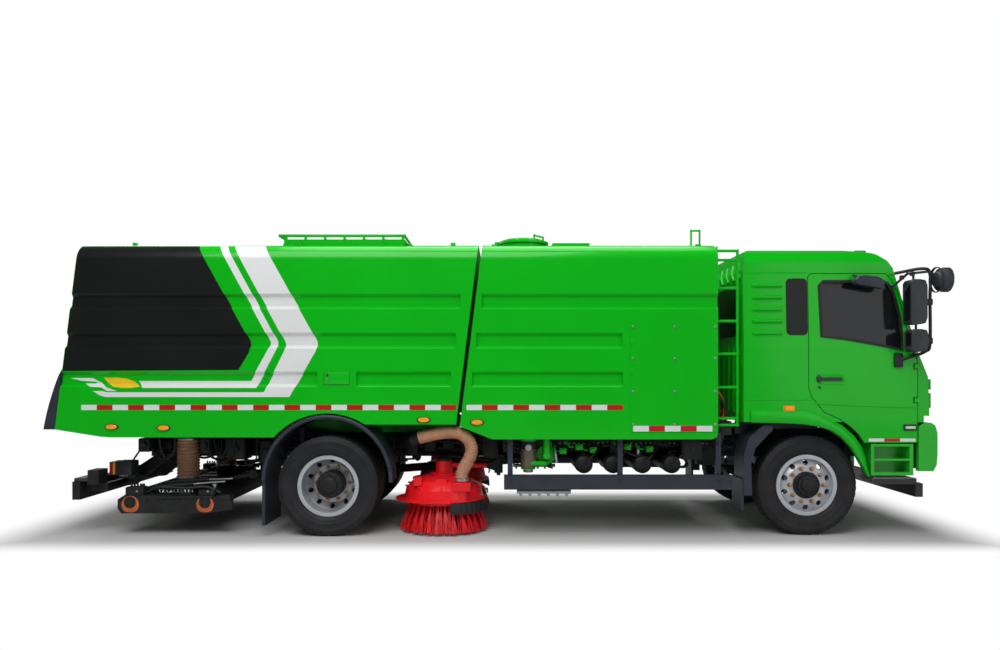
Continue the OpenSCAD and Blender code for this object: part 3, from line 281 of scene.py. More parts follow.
def face_outward(bm, s=0):
    """Makes the normals agree; with a side, an open skin faces that side."""
    bmesh.ops.recalc_face_normals(bm, faces=bm.faces[:])
    if s and sum(f.normal.y * s * f.calc_area() for f in bm.faces) < 0:
        bmesh.ops.reverse_faces(bm, faces=bm.faces[:])


def add_prism(bm, outline, y0, y1, slot=0):
    """Adds an X-Z outline extruded from y0 to y1."""
    front = [bm.verts.new((x, y0, z)) for x, z in outline]
    back = [bm.verts.new((x, y1, z)) for x, z in outline]
    count = len(outline)
    made = [bm.faces.new(front), bm.faces.new(back[::-1])]
    for i in range(count):
        j = (i + 1) % count
        made.append(bm.faces.new((front[j], front[i], back[i], back[j])))
    for face in made:
        face.material_index = slot
    return made


def add_box(bm, low, high, bevel=0.0, slot=0, turn=None):
    """Adds a box between two corners, with rounded edges."""
    low, high = Vector(low), Vector(high)
    made = bmesh.ops.create_cube(bm, size=1.0)["verts"]
    middle = (low + high) / 2
    span = Matrix.Diagonal((*[abs(c) for c in high - low], 1))
    place = Matrix.Translation(middle) @ (turn or Matrix()) @ span
    bmesh.ops.transform(bm, matrix=place, verts=made)
    for face in dict.fromkeys(f for v in made for f in v.link_faces):
        face.material_index = slot
    if bevel:
        edges = list(dict.fromkeys(e for v in made for e in v.link_edges))
        bmesh.ops.bevel(bm, geom=edges, offset=bevel, segments=2, affect="EDGES", profile=0.5)


def add_lathe(bm, profile, centre, axis, segments=48, slot=0):
    """Adds a turned shape from [radius, distance along axis] points."""
    axis = Vector(axis).normalized()
    side = axis.orthogonal().normalized()
    other = axis.cross(side)
    rings = []
    for radius, along in profile:
        start = Vector(centre) + axis * along
        rings.append([bm.verts.new(start + (side * c + other * d) * radius)
                      for c, d in around(segments)])
    add_skin(bm, rings, slot)
    return rings


def add_disc(bm, centre, axis, radius, depth, segments=24, slot=0, soft=0.2):
    """Adds a capped round boss that stands out along axis."""
    edge = depth * soft
    rings = add_lathe(bm, [(radius, 0), (radius, depth - edge), (radius - edge, depth)],
                      centre, axis, segments, slot)
    bm.faces.new(rings[-1]).material_index = slot
    bm.faces.new(rings[0][::-1]).material_index = slot


def smooth_path(points, steps=8):
    """Catmull-Rom curve through the points."""
    points = [Vector(p) for p in points]
    if len(points) < 3:
        return points
    line = [2 * points[0] - points[1], *points, 2 * points[-1] - points[-2]]
    out = []
    for a, b, c, d in zip(line, line[1:], line[2:], line[3:]):
        for k in range(steps):
            t = k / steps
            out.append(0.5 * (2 * b + (c - a) * t + (2 * a - 5 * b + 4 * c - d) * t ** 2
                              + (3 * b - a - 3 * c + d) * t ** 3))
    out.append(points[-1])
    return out


def add_tube(bm, points, radius, segments=12, slot=0, steps=8, ribs=0, rib=0.0):
    """Adds a tube along a smooth curve; ribs per metre make it corrugated."""
    path = smooth_path(points, steps)
    if ribs:
        fine = [path[0]]
        gap = 0.25 / ribs
        for a, b in zip(path, path[1:]):
            count = max(1, round((b - a).length / gap))
            fine += [a.lerp(b, (k + 1) / count) for k in range(count)]
        path = fine
    along = (path[1] - path[0]).normalized()
    side = along.orthogonal().normalized()
    rings = []
    walked = 0.0
    for i, spot in enumerate(path):
        ahead = path[min(i + 1, len(path) - 1)] - path[max(i - 1, 0)]
        ahead.normalize()
        side = (side - ahead * side.dot(ahead)).normalized()
        other = ahead.cross(side)
        if i:
            walked += (spot - path[i - 1]).length
        r = radius + (rib * math.cos(2 * math.pi * walked * ribs) if ribs else 0)
        rings.append([bm.verts.new(spot + side * c + other * d) for c, d in around(segments, r)])
    add_skin(bm, rings, slot, ends=True)


def add_hex(bm, centre, axis, radius, depth, slot=0):
    """Adds a six-sided bolt head."""
    rings = add_lathe(bm, [(radius, 0), (radius, depth * 0.8), (radius * 0.85, depth)],
                      centre, axis, 6, slot)
    bm.faces.new(rings[-1]).material_index = slot


def bolts(name, spots, axis, radius, depth, look, body):
    """A piece of bolt heads."""
    bm = bmesh.new()
    for spot in spots:
        add_hex(bm, spot, axis, radius, depth)
    return finish_mesh(name, bm, look, body, angle=20)


# Body sides

GROOVES = ((TOP - 0.636, TOP - 0.486), (TOP - 1.018, TOP - 0.863), (TOP - 1.391, TOP - 1.241))
DEPTH = 0.032
EDGE_R = 0.15
FILM = 0.0016
TAPE_STEP = 0.151


def seam_x(z):
    """Front of the hopper at height z."""
    return REAR_X + 1.254 + (z - 1.095) * LEAN


def back_x(z):
    """Rear edge of the hopper sides at height z."""
    return REAR_X - 2.639 + (z - 1.047) * 0.1259


def side_depth(z):
    """How far the side skin lies inside the full width at height z."""
    if z > TOP - EDGE_R:
        rise = min(z - (TOP - EDGE_R), EDGE_R)
        return EDGE_R - math.sqrt(EDGE_R ** 2 - rise ** 2)
    for low, high in GROOVES:
        if low < z < high:
            return min(DEPTH, z - low, high - z)
    return 0.0


def decal(name, outline, look, body):
    """Film on both body sides that follows the grooves and the rounded top edge."""
    for tag, s in SIDES.items():
        bm = bmesh.new()
        face = bm.faces.new([bm.verts.new((x, 0, z)) for x, z in outline])
        face.normal_update()
        bmesh.ops.triangulate(bm, faces=[face])
        levels = [TOP - EDGE_R * (1 - math.sin(a * math.pi / 16)) for a in range(8)]
        for low, high in GROOVES:
            levels += [low, low + DEPTH, high - DEPTH, high]
        for z in levels:
            level_cut(bm, z)
        for v in bm.verts:
            v.co.y = s * (HALF - side_depth(v.co.z) + FILM)
        face_outward(bm, s)
        finish_mesh(f"{name}_{tag}", bm, look, body, angle=25)


def level_cut(bm, z):
    """Cuts the whole mesh at height z, so that it can bend there."""
    geometry = bm.verts[:] + bm.edges[:] + bm.faces[:]
    bmesh.ops.bisect_plane(bm, geom=geometry, plane_co=(0, 0, z), plane_no=(0, 0, 1))


def graphics():
    """Black field, two white chevron stripes with leaf tips, and a yellow leaf."""
    top = TOP - 0.012
    decal("black_field", [(back_x(top) + 0.004, top), (-2.867, top), (-2.383, 1.963),
                          (-2.350, 1.905), (-2.345, 1.847), (-2.362, 1.790), (-2.461, 1.624),
                          (back_x(1.614) + 0.004, 1.614)], "black", "hopper")
    decal("thin_stripe", [(-2.664, top), (-2.587, top), (-2.100, 1.935), (-2.083, 1.895),
                          (-2.083, 1.855), (-2.096, 1.818), (-2.290, 1.449), (-3.390, 1.449),
                          (-3.440, 1.517), (-2.345, 1.517), (-2.168, 1.838), (-2.155, 1.868),
                          (-2.155, 1.900), (-2.172, 1.935)], "white", "hopper")
    decal("wide_stripe", [(-2.519, top), (-2.219, top), (-1.712, 1.925), (-1.698, 1.888),
                          (-1.698, 1.848), (-1.714, 1.804), (-1.967, 1.362), (-3.745, 1.362),
                          (-3.800, 1.376), (-3.873, 1.420), (-3.780, 1.420), (-3.735, 1.408),
                          (-2.215, 1.408), (-2.022, 1.800), (-2.004, 1.848), (-2.006, 1.880),
                          (-2.020, 1.915)], "white", "hopper")
    decal("leaf_finger", [(-3.640, 1.420), (-3.735, 1.420), (-3.790, 1.455), (-3.900, 1.462),
                          (-3.960, 1.494), (-3.860, 1.494), (-3.830, 1.508), (-4.000, 1.520),
                          (-4.105, 1.546), (-3.890, 1.546), (-3.800, 1.500), (-3.740, 1.455)],
          "white", "hopper")
    decal("yellow_leaf", [(-3.420, 1.462), (-3.480, 1.512), (-3.560, 1.540), (-3.650, 1.550),
                          (-3.780, 1.550), (-3.740, 1.500), (-3.680, 1.464), (-3.600, 1.449),
                          (-3.500, 1.449)], "yellow", "hopper")


def tape(name, x0, x1, z0, z1, body, proud=0.0):
    """Row of white and red reflective pieces on both sides."""
    count = round((x1 - x0) / TAPE_STEP)
    width = (x1 - x0) / count
    bm = bmesh.new()
    for s in (-1, 1):
        y = s * (HALF + 0.0012 + proud)
        for i in range(count):
            a = x0 + i * width
            b = a + width - 0.002
            spots = [(a, y, z0), (b, y, z0), (b, y, z1), (a, y, z1)]
            face = bm.faces.new([bm.verts.new(p) for p in (spots if s < 0 else spots[::-1])])
            face.material_index = i % 2
    finish_mesh(name, bm, ["tape_white", "tape_red"], body, smooth=False)


def oval_lamp(name, x, z, s, body):
    """Oval amber marker lamp with a rubber base, on the body side."""
    bm = bmesh.new()
    for scale, depth, slot in ((1.25, 0.010, 1), (1.0, 0.020, 0)):
        rings = [[bm.verts.new((x + 0.055 * scale * grow * c, s * (HALF + out),
                                z + 0.024 * scale * grow * d)) for c, d in around(28)]
                 for grow, out in ((1, 0), (1, depth * 0.7), (0.82, depth))]
        add_skin(bm, rings, slot)
        bm.faces.new(rings[-1]).material_index = slot
    face_outward(bm)
    finish_mesh(name, bm, ["amber", "seal"], body)


def body_side_details():
    """Reflective tape, lamps, the lock flap and the access panel's fittings."""
    tape("tape_hopper", -3.985, -0.346, 1.235, 1.286, "hopper")
    tape("tape_tank", -0.250, 1.268, 1.235, 1.286, "chassis")
    tape("tape_panel", 1.365, 2.135, 1.028, 1.083, "chassis", proud=0.006)
    for tag, s in SIDES.items():
        lamps = ((-3.690, 1.072, "hopper"), (-3.187, 1.062, "hopper"), (-0.665, 1.140, "hopper"),
                 (-0.148, 1.116, "chassis"))
        for i, (x, z, body) in enumerate(lamps):
            oval_lamp(f"side_lamp_{tag}_{i}", x, z, s, body)
        # Round-cornered flap with a lock on the hopper side
        bm = bmesh.new()
        add_box(bm, (-1.637, s * HALF, 1.478), (-1.381, s * (HALF + 0.003), 1.609), 0.002, slot=2)
        add_box(bm, (-1.632, s * HALF, 1.484), (-1.386, s * (HALF + 0.007), 1.603), 0.003)
        add_box(bm, (-1.612, s * (HALF + 0.005), 1.560), (-1.585, s * (HALF + 0.012), 1.590),
                0.003, slot=2)
        add_disc(bm, (-1.600, s * (HALF + 0.006), 1.532), (0, s, 0), 0.012, 0.008, slot=1)
        finish_mesh(f"side_flap_{tag}", bm, ["green", "steel", "seal"], "hopper")
        # Bolt heads of the access panel
        spots = [(x, s * (HALF + 0.006), z) for x in (1.365, 1.768, 2.161)
                 for z in (1.099, 1.418, 1.738, 2.045)]
        bolts(f"panel_bolts_{tag}", spots, (0, s, 0), 0.013, 0.008, "steel", "chassis")
        bm = bmesh.new()
        for z in (1.30, 1.62, 1.90):
            for x in (1.352, 2.176):
                add_box(bm, (x - 0.010, s * (HALF + 0.004), z - 0.03),
                        (x + 0.010, s * (HALF + 0.011), z + 0.03), 0.002)
        finish_mesh(f"panel_hinges_{tag}", bm, "green", "chassis")


def roof_details():
    """Lugs and gutters on the roofs, rails and clamps on the lid, manhole bolts."""
    bm = bmesh.new()
    for x in (back_x(TOP) + 0.40, -0.40):
        for y in (-0.9, 0.9):
            add_box(bm, (x - 0.025, y - 0.010, TOP - 0.002), (x + 0.025, y + 0.010, TOP + 0.065),
                    0.006)
    for y in (-1.02, 1.02):
        add_box(bm, (back_x(TOP) + 0.05, y - 0.012, TOP),
                (seam_x(TOP) - 0.05, y + 0.012, TOP + 0.012), 0.004)
    finish_mesh("hopper_roof_lugs", bm, "green", "hopper")
    bm = bmesh.new()
    for x in (0.02, 2.08):
        for y in (-0.9, 0.9):
            add_box(bm, (x - 0.03, y - 0.008, TOP - 0.002), (x + 0.03, y + 0.008, TOP + 0.05), 0.006)
    finish_mesh("tank_roof_lugs", bm, "green", "chassis")
    # Clamps along the loading lid
    low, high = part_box("hopper_lid")
    bm = bmesh.new()
    for x in (low.x + 0.15, high.x - 0.15):
        add_box(bm, (x - 0.02, high.y - 0.01, TOP + 0.004), (x + 0.02, high.y + 0.03, TOP + 0.06),
                0.004)
        add_box(bm, (x - 0.008, high.y + 0.02, TOP + 0.03), (x + 0.008, high.y + 0.10, TOP + 0.045),
                0.003)
    for x, side in ((low.x, -1), (high.x, 1)):
        for y in (low.y + 0.2, high.y - 0.2):
            add_box(bm, (x + side * 0.002, y - 0.03, TOP + 0.01),
                    (x + side * 0.05, y + 0.03, TOP + 0.05), 0.005)
    for k in range(5):
        x = low.x + 0.2 + k * 0.2
        add_box(bm, (x - 0.012, low.y + 0.08, high.z - 0.004),
                (x + 0.012, high.y - 0.08, high.z + 0.006), 0.003)
    # Rails on stand-offs along both edges, with end brackets
    for y in (low.y + 0.03, high.y - 0.03):
        add_box(bm, (low.x - 0.055, y - 0.014, TOP + 0.092), (high.x + 0.012, y + 0.014, TOP + 0.118),
                0.004)
        for k in range(7):
            x = low.x + 0.02 + k * (high.x - low.x - 0.04) / 6
            add_box(bm, (x - 0.012, y - 0.010, TOP + 0.060), (x + 0.012, y + 0.010, TOP + 0.095),
                    0.002)
    for x in (low.x - 0.045, high.x - 0.004):
        add_box(bm, (x - 0.010, low.y + 0.02, TOP + 0.094), (x + 0.010, high.y - 0.02, TOP + 0.116),
                0.003)
    finish_mesh("lid_clamps", bm, "green", "loading_lid")
    # Rim bolts of the manhole
    spots = [(0.313 + c, -0.7 + d, TOP + 0.088) for c, d in around(12, 0.245, 0.5)]
    bolts("manhole_bolts", spots, UP, 0.012, 0.010, "steel", "manhole_lid")


def rear_details():
    """Door ribs and trim, lamps, plate holder and tape at the back."""
    bm = bmesh.new()
    z0, z1 = 1.66, 2.66
    for y in (-0.75, -0.25, 0.25, 0.75):
        for dy in (-0.05, 0.05):
            outline = [(back_x(z0) - 0.030, z0), (back_x(z0) - 0.010, z0 - 0.03),
                       (back_x(z1) - 0.010, z1 + 0.03), (back_x(z1) - 0.030, z1)]
            add_prism(bm, outline, y + dy - 0.012, y + dy + 0.012)
    for z0 in (1.64, 2.15, 2.66):
        outline = [(back_x(z0) - 0.034, z0), (back_x(z0) - 0.010, z0 - 0.02),
                   (back_x(z0 + 0.06) - 0.010, z0 + 0.08), (back_x(z0 + 0.06) - 0.034, z0 + 0.06)]
        add_prism(bm, outline, -1.12, 1.12)
    finish_mesh("tailgate_ribs", bm, "slate", "tailgate")
    # Rounded rubber trim over the lower edge
    bm = bmesh.new()
    high, low, steps = 1.63, 1.047, 12
    edge = []
    for i in range(1, steps + 1):
        share = i / steps
        z = high - (high - low) * share
        edge.append((back_x(z) - 0.008 - 0.105 * math.sin(share * 1.35) ** 0.8, z))
    outline = [(back_x(high) - 0.004, high)] + edge + [(back_x(low) - 0.004, low)]
    add_prism(bm, outline, -1.248, 1.248)
    finish_mesh("rear_trim", bm, "slate", "tailgate")
    bm = bmesh.new()
    for s in SIDES.values():
        for col in (1, 2, 3):
            y = s * (0.67 + 0.11 * col)
            add_box(bm, (-4.134, y - 0.045, 0.395), (-4.114, y + 0.045, 0.485), 0.012, slot=col)
    finish_mesh("tail_lamps", bm, ["plastic", "tail", "amber", "lens"], "chassis")
    bm = bmesh.new()
    add_box(bm, (-4.135, -0.26, 0.385), (-4.122, 0.26, 0.49), 0.004)
    finish_mesh("rear_plate_holder", bm, "grey", "chassis")
    for tag, s in SIDES.items():
        bm = bmesh.new()
        add_box(bm, (-3.862, s * 0.62, 0.545), (-3.700, s * 0.80, 0.690), 0.008)
        add_box(bm, (-3.895, s * 0.61, 0.550), (-3.860, s * 0.806, 0.685), 0.006, slot=1)
        add_box(bm, (-3.925, s * 0.61, 0.550), (-3.894, s * 0.806, 0.685), 0.006, slot=2)
        add_box(bm, (-3.80, s * 0.60, 0.50), (-3.72, s * 0.66, 0.56), 0.004)
        add_box(bm, (-3.90, s * 0.395, 0.505), (-3.72, s * 0.66, 0.520), 0.003)
        finish_mesh(f"rear_lamp_{tag}", bm, ["plastic", "amber", "tail"], "chassis")
        # Black step pad on the beam and a cable down to the lamp
        bm = bmesh.new()
        add_box(bm, (-4.12, s * 0.86, 0.527), (-3.98, s * 1.13, 0.560), 0.006)
        add_tube(bm, [(-3.72, s * 0.72, 0.69), (-3.62, s * 0.70, 0.85), (-3.60, s * 0.60, 0.95)],
                 0.010, 8)
        finish_mesh(f"beam_pad_{tag}", bm, "plastic", "chassis")
    # Beam tape on the underrun guard
    bm = bmesh.new()
    for i in range(14):
        y = -1.06 + i * 0.152
        if abs(y + 0.07) < 0.34:
            continue
        add_box(bm, (-4.1275, y, 0.355), (-4.1255, y + 0.15, 0.385), slot=i % 2)
    finish_mesh("underrun_tape", bm, ["tape_white", "tape_red"], "chassis", smooth=False)


# Wheels

def tyre_piece(name, centre, body):
    """Tyre with ribs, shoulder blocks and sidewall rings, in place of the plain ring."""
    w = 0.1375
    r = WHEEL_R
    side = [(0.2865, -0.088), (0.302, -0.100), (0.306, -0.112), (0.328, -0.124), (0.331, -0.127),
            (0.345, -0.130), (0.360, -0.133), (0.363, -0.1355), (0.372, -0.1365), (0.395, -w),
            (0.420, -w + 0.001), (0.423, -w - 0.0005), (0.436, -w - 0.0005), (0.439, -w + 0.002),
            (0.460, -w + 0.007), (0.474, -w + 0.016), (0.483, -0.116)]
    line = list(side)
    lanes = ((-0.104, -0.066), (-0.054, -0.022), (-0.010, 0.010), (0.022, 0.054), (0.066, 0.104))
    for a, b in lanes:
        line += [(r - 0.012, a), (r - 0.001, a + 0.002), (r, b - 0.002), (r - 0.012, b)]
    line += [(x, -y) for x, y in reversed(side)]
    bm = bmesh.new()
    rings = add_lathe(bm, line, centre, (0, 1, 0), 192)
    middle = Vector(centre)
    first, last = len(side) - 3, len(line) - len(side) + 2
    for i, ring in enumerate(rings):
        if not first <= i <= last:
            continue
        for k, v in enumerate(ring):
            if k % 4 == 0:
                flat = Vector((v.co.x - middle.x, 0, v.co.z - middle.z))
                deep = 0.007 if i in (first, first + 1, last, last - 1) else 0.004
                v.co -= flat.normalized() * deep
    return finish_mesh(name, bm, "rubber", body, angle=32)


def wheel_nuts(name, x, s, y, body):
    """Ten studs with washers and nuts on the bolt circle."""
    bm = bmesh.new()
    for c, d in around(10, 0.168):
        spot = Vector((x + c, s * y, WHEEL_R + d))
        add_disc(bm, spot, (0, s, 0), 0.0215, 0.006, 18)
        add_hex(bm, spot + Vector((0, s * 0.004, 0)), (0, s, 0), 0.0185, 0.034)
        add_disc(bm, spot + Vector((0, s * 0.030, 0)), (0, s, 0), 0.011, 0.022, 14)
    finish_mesh(name, bm, "brass", body, angle=25)


def wheels():
    """Treads, nuts, hubs and rim lips; the treads replace the plain tyres."""
    for tag, s in SIDES.items():
        centre = (FRONT_X, s * 1.02, WHEEL_R)
        body = f"front_wheel_{tag}"
        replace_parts(tyre_piece(f"front_tread_{tag}", centre, body), f"front_tyre_{tag}")
        wheel_nuts(f"front_nuts_{tag}", FRONT_X, s, 1.108, body)
        rear = f"rear_wheels_{tag}"
        outer = tyre_piece(f"rear_tread_out_{tag}", (REAR_X, s * 1.085, WHEEL_R), rear)
        tyre_piece(f"rear_tread_in_{tag}", (REAR_X, s * 0.770, WHEEL_R), rear)
        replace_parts(outer, f"rear_tyres_{tag}")
        wheel_nuts(f"rear_nuts_{tag}", REAR_X, s, 0.944, rear)
        for name, x, y, wheel, steps in (
                ("front", FRONT_X, 1.106, body,
                 [(0.132, 0), (0.132, 0.014), (0.122, 0.022), (0.100, 0.024), (0.096, 0.046),
                  (0.068, 0.050), (0.062, 0.070), (0.048, 0.078), (0.004, 0.080)]),
                ("rear", REAR_X, 0.952, rear,
                 [(0.134, 0), (0.134, 0.150), (0.126, 0.168), (0.100, 0.176), (0.082, 0.178),
                  (0.076, 0.196), (0.056, 0.206), (0.004, 0.208)])):
            bm = bmesh.new()
            hub = Vector((x, s * y, WHEEL_R))
            rings = add_lathe(bm, steps, hub, (0, s, 0), 48)
            bm.faces.new(rings[-1])
            for i in range(10):
                a = 2 * math.pi * (i + 0.5) / 10
                out = Vector((math.cos(a), 0, math.sin(a)))
                add_hex(bm, hub + out * 0.112 + Vector((0, s * (steps[3][1] - 0.002), 0)),
                        (0, s, 0), 0.009, 0.014)
                add_box(bm, hub + Vector((0.104, min(0, s * 0.02), -0.006)),
                        hub + Vector((0.130, s * (steps[2][1]), 0.006)), 0.001,
                        turn=Matrix.Rotation(-a, 4, "Y"))
            finish_mesh(f"{name}_hub_{tag}", bm, "frame", wheel)
        for name, x, y, wheel in (("front", FRONT_X, 1.118, body), ("rear", REAR_X, 1.183, rear)):
            bm = bmesh.new()
            add_lathe(bm, [(0.262, -0.004), (0.266, 0.005), (0.292, 0.008), (0.300, 0.006),
                           (0.302, 0.000), (0.298, -0.006)], (x, s * y, WHEEL_R), (0, s, 0), 72)
            add_tube(bm, [(x + 0.275, s * (y - 0.01), WHEEL_R + 0.02),
                          (x + 0.268, s * (y + 0.012), WHEEL_R + 0.02),
                          (x + 0.250, s * (y + 0.020), WHEEL_R + 0.02)], 0.005, 8)
            finish_mesh(f"{name}_rim_lip_{tag}", bm, "rim", wheel)


# Side brushes

TUFT_ROWS = ((0.325, 0.437, 0.022), (0.292, 0.400, 0.020), (0.262, 0.350, 0.022))
TIP_R = 0.445


def tuft_ring(row):
    """Number of tufts in a row of the brush, and how far the row is turned."""
    return 30 - row * 4, row * 0.4


def add_bristle(bm, x, y, middle, r0, r1, z1):
    """Adds one flat bristle that leans outward from radius r0 to about r1."""
    a = middle + random.gauss(0, 0.010)
    b = middle + random.gauss(0, 0.045) + 0.02
    r = min(r1 + random.gauss(0, 0.014), TIP_R)
    mid_r = r0 + (r - r0) * 0.62
    half = (a + b) / 2
    start = Vector((x + r0 * math.cos(a), y + r0 * math.sin(a), 0.305))
    mid = Vector((x + mid_r * math.cos(half), y + mid_r * math.sin(half), 0.155))
    end = Vector((x + r * math.cos(b), y + r * math.sin(b), z1 + abs(random.gauss(0, 0.010))))
    wide = Vector((-math.sin(a), math.cos(a), 0)) * 0.0032
    deep = Vector((math.cos(a), math.sin(a), 0)) * 0.0026
    corners = (wide + deep, deep - wide, -wide - deep, wide - deep)
    rows = [[bm.verts.new(p + o * thin) for o in corners]
            for p, thin in ((start, 1.0), (mid, 1.0), (end, 0.8))]
    add_skin(bm, rows)
    bm.faces.new(rows[-1][::-1])


def brush_disc(tag, x, y):
    """Bristles in tufts, the plate that holds them and the collars of the tufts."""
    bm = bmesh.new()
    for row, (r0, r1, z1) in enumerate(TUFT_ROWS):
        count, turned = tuft_ring(row)
        for i in range(count):
            for _ in range(16):
                add_bristle(bm, x, y, 2 * math.pi * (i + turned) / count, r0, r1, z1)
    bristles = finish_mesh(f"bristles_{tag}", bm, "bristle", f"brush_{tag}", smooth=False)
    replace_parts(bristles, f"brush_disc_{tag}")
    bm = bmesh.new()
    rings = add_lathe(bm, [(0.20, 0.286), (0.352, 0.284), (0.362, 0.290), (0.362, 0.308),
                           (0.352, 0.314), (0.10, 0.326), (0.06, 0.332)], (x, y, 0), UP, 64)
    bm.faces.new(rings[-1])
    bm.faces.new(rings[0][::-1])
    add_disc(bm, (x, y, 0.30), UP, 0.025, 0.24)
    finish_mesh(f"brush_plate_{tag}", bm, "red", f"brush_{tag}")
    bm = bmesh.new()
    for row, (r0, _, _) in enumerate(TUFT_ROWS):
        count, turned = tuft_ring(row)
        for c, d in around(count, r0, turned):
            add_disc(bm, (x + c, y + d, 0.290), DOWN, 0.016, 0.014, 10)
    finish_mesh(f"tuft_collars_{tag}", bm, "red", f"brush_{tag}")


def brush_cover(tag, s, x, y):
    """Lip, ribs, bolts and boxes on the cover, and the rubber apron below it."""
    bm = bmesh.new()
    add_lathe(bm, [(0.426, 0.314), (0.436, 0.318), (0.438, 0.326), (0.430, 0.332),
                   (0.404, 0.344)], (x, y, 0), UP, 72)
    for i in range(10):
        a = 2 * math.pi * (i + 0.5) / 10
        spot = Vector((x + 0.345 * math.cos(a), y + 0.345 * math.sin(a), 0))
        add_box(bm, spot + Vector((-0.055, -0.004, 0.452)), spot + Vector((0.055, 0.004, 0.470)),
                0.002, turn=Matrix.Rotation(a, 4, "Z"))
    for c, d in around(8, 0.115):
        add_hex(bm, (x + c, y + d, 0.576), UP, 0.011, 0.010)
    # Square box at the duct foot, and two brackets
    add_box(bm, (x + 0.11, y + s * 0.20, 0.430), (x + 0.285, y + s * 0.385, 0.520), 0.012)
    add_box(bm, (x - 0.28, y + s * 0.16, 0.475), (x - 0.20, y + s * 0.30, 0.560), 0.008)
    add_box(bm, (x - 0.06, y + s * 0.26, 0.470), (x + 0.05, y + s * 0.33, 0.548), 0.008)
    # Wide lip towards the back
    rings = []
    for i in range(33):
        share = i / 32
        a = math.radians(s * (95 + 150 * share))
        wide = 0.432 + 0.058 * math.sin(math.pi * share) ** 0.5
        rings.append([bm.verts.new((x + r * math.cos(a), y + r * math.sin(a), z))
                      for r, z in ((0.425, 0.338), (wide, 0.330), (wide, 0.324), (0.425, 0.331))])
    add_skin(bm, rings, ends=True)
    face_outward(bm)
    finish_mesh(f"cover_trim_{tag}", bm, "red", f"brush_arm_{tag}")
    # Rubber apron around the front outer part of the cover
    bm = bmesh.new()
    rings = []
    for i in range(41):
        a = math.radians(42 * s + (-36 + 72 * i / 40))
        wave = 0.004 * math.sin(i * 1.3)
        rings.append([bm.verts.new((x + (r + wave * k) * math.cos(a),
                                    y + (r + wave * k) * math.sin(a), z))
                      for r, z, k in ((0.432, 0.330, 0), (0.440, 0.326, 0), (0.446, 0.27, 1),
                                      (0.447, 0.215, 1), (0.439, 0.215, 1), (0.436, 0.27, 1))])
    add_skin(bm, rings, ends=True)
    face_outward(bm)
    finish_mesh(f"brush_apron_{tag}", bm, "seal", f"brush_arm_{tag}")


def brush_motor(tag, s, x, y):
    """Flange and hoses on the brush motor, and the spray bar in front of the brush."""
    arm = f"brush_arm_{tag}"
    bm = bmesh.new()
    add_disc(bm, (x, y, 0.698), UP, 0.070, 0.030)
    for c, d in around(6, 0.068):
        add_hex(bm, (x + c, y + d, 0.70), UP, 0.009, 0.009)
    for k in (-1, 1):
        add_tube(bm, [(x + 0.05 * k, y, 0.70), (x + 0.05 * k, y, 0.735),
                      (x + 0.16, y - s * 0.02, 0.738), (x + 0.42, s * (0.72 + 0.03 * k), 0.70),
                      (x + 0.45, s * (0.72 + 0.02 * k), 0.69)], 0.011, 10)
    finish_mesh(f"brush_motor_trim_{tag}", bm, "seal", arm)
    bm = bmesh.new()
    add_tube(bm, [(x + 0.28, y + s * 0.10, 0.52), (x + 0.40, y + s * 0.12, 0.46),
                  (x + 0.445, y + s * 0.16, 0.40), (x + 0.44, y - s * 0.10, 0.40)], 0.010, 10)
    finish_mesh(f"brush_spray_{tag}", bm, "steel", arm)


def brush_hose(tag, s):
    """Corrugated brown hose, made as an upper and a lower stretch."""
    upper = [(-0.720, 1.098, 0.955), (-0.620, 1.115, 0.982), (-0.518, 1.128, 1.003),
             (-0.400, 1.134, 1.013), (-0.300, 1.134, 0.992), (-0.228, 1.128, 0.925),
             (-0.204, 1.118, 0.835), (-0.228, 1.108, 0.745)]
    lower = [(-0.228, 1.108, 0.745), (-0.275, 1.102, 0.665), (-0.300, 1.100, 0.600),
             (-0.304, 1.100, 0.535)]
    parts = []
    for name, points in (("upper", upper), ("lower", lower)):
        bm = bmesh.new()
        add_tube(bm, [(x, s * y, z) for x, y, z in points], 0.062, 28, steps=6, ribs=46, rib=0.003)
        parts.append(finish_mesh(f"brush_hose_{name}_{tag}", bm, "hose", None, angle=70))
    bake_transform(parts[0])
    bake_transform(parts[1])
    bm = bmesh.new()
    add_lathe(bm, [(0.064, 0.530), (0.070, 0.532), (0.070, 0.556), (0.065, 0.558)],
              (-0.304, s * 1.1, 0), UP, 32)
    add_box(bm, (-0.320, s * 1.166, 0.534), (-0.288, s * 1.180, 0.554), 0.003)
    finish_mesh(f"hose_clip_low_{tag}", bm, "steel", f"brush_arm_{tag}")
    return parts


def brushes():
    """Both side brushes with their hoses."""
    hoses = []
    for tag, s in SIDES.items():
        x, y = BRUSH_X, s * BRUSH_Y
        brush_disc(tag, x, y)
        brush_cover(tag, s, x, y)
        brush_motor(tag, s, x, y)
        hoses += brush_hose(tag, s)
    for hose in hoses:
        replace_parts(hose, "brush_hoses")


# Suction nozzle

def nozzle_hose(tag, x, y):
    """Ribbed hose from the chassis duct to the nozzle, with its clips."""
    bm = bmesh.new()
    add_tube(bm, [(x, y, 0.915), (x, y, 0.72), (x, y, 0.505)], 0.112, 32, steps=6, ribs=30,
             rib=0.005)
    hose = finish_mesh(f"nozzle_hose_{tag}", bm, "hose", None, angle=70)
    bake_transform(hose)
    bm = bmesh.new()
    for z in (0.898, 0.93):
        add_lathe(bm, [(0.114, z), (0.122, z + 0.002), (0.122, z + 0.016), (0.114, z + 0.018)],
                  (x, y, 0), UP, 40)
    finish_mesh(f"duct_clip_{tag}", bm, "steel", "chassis")
    return hose


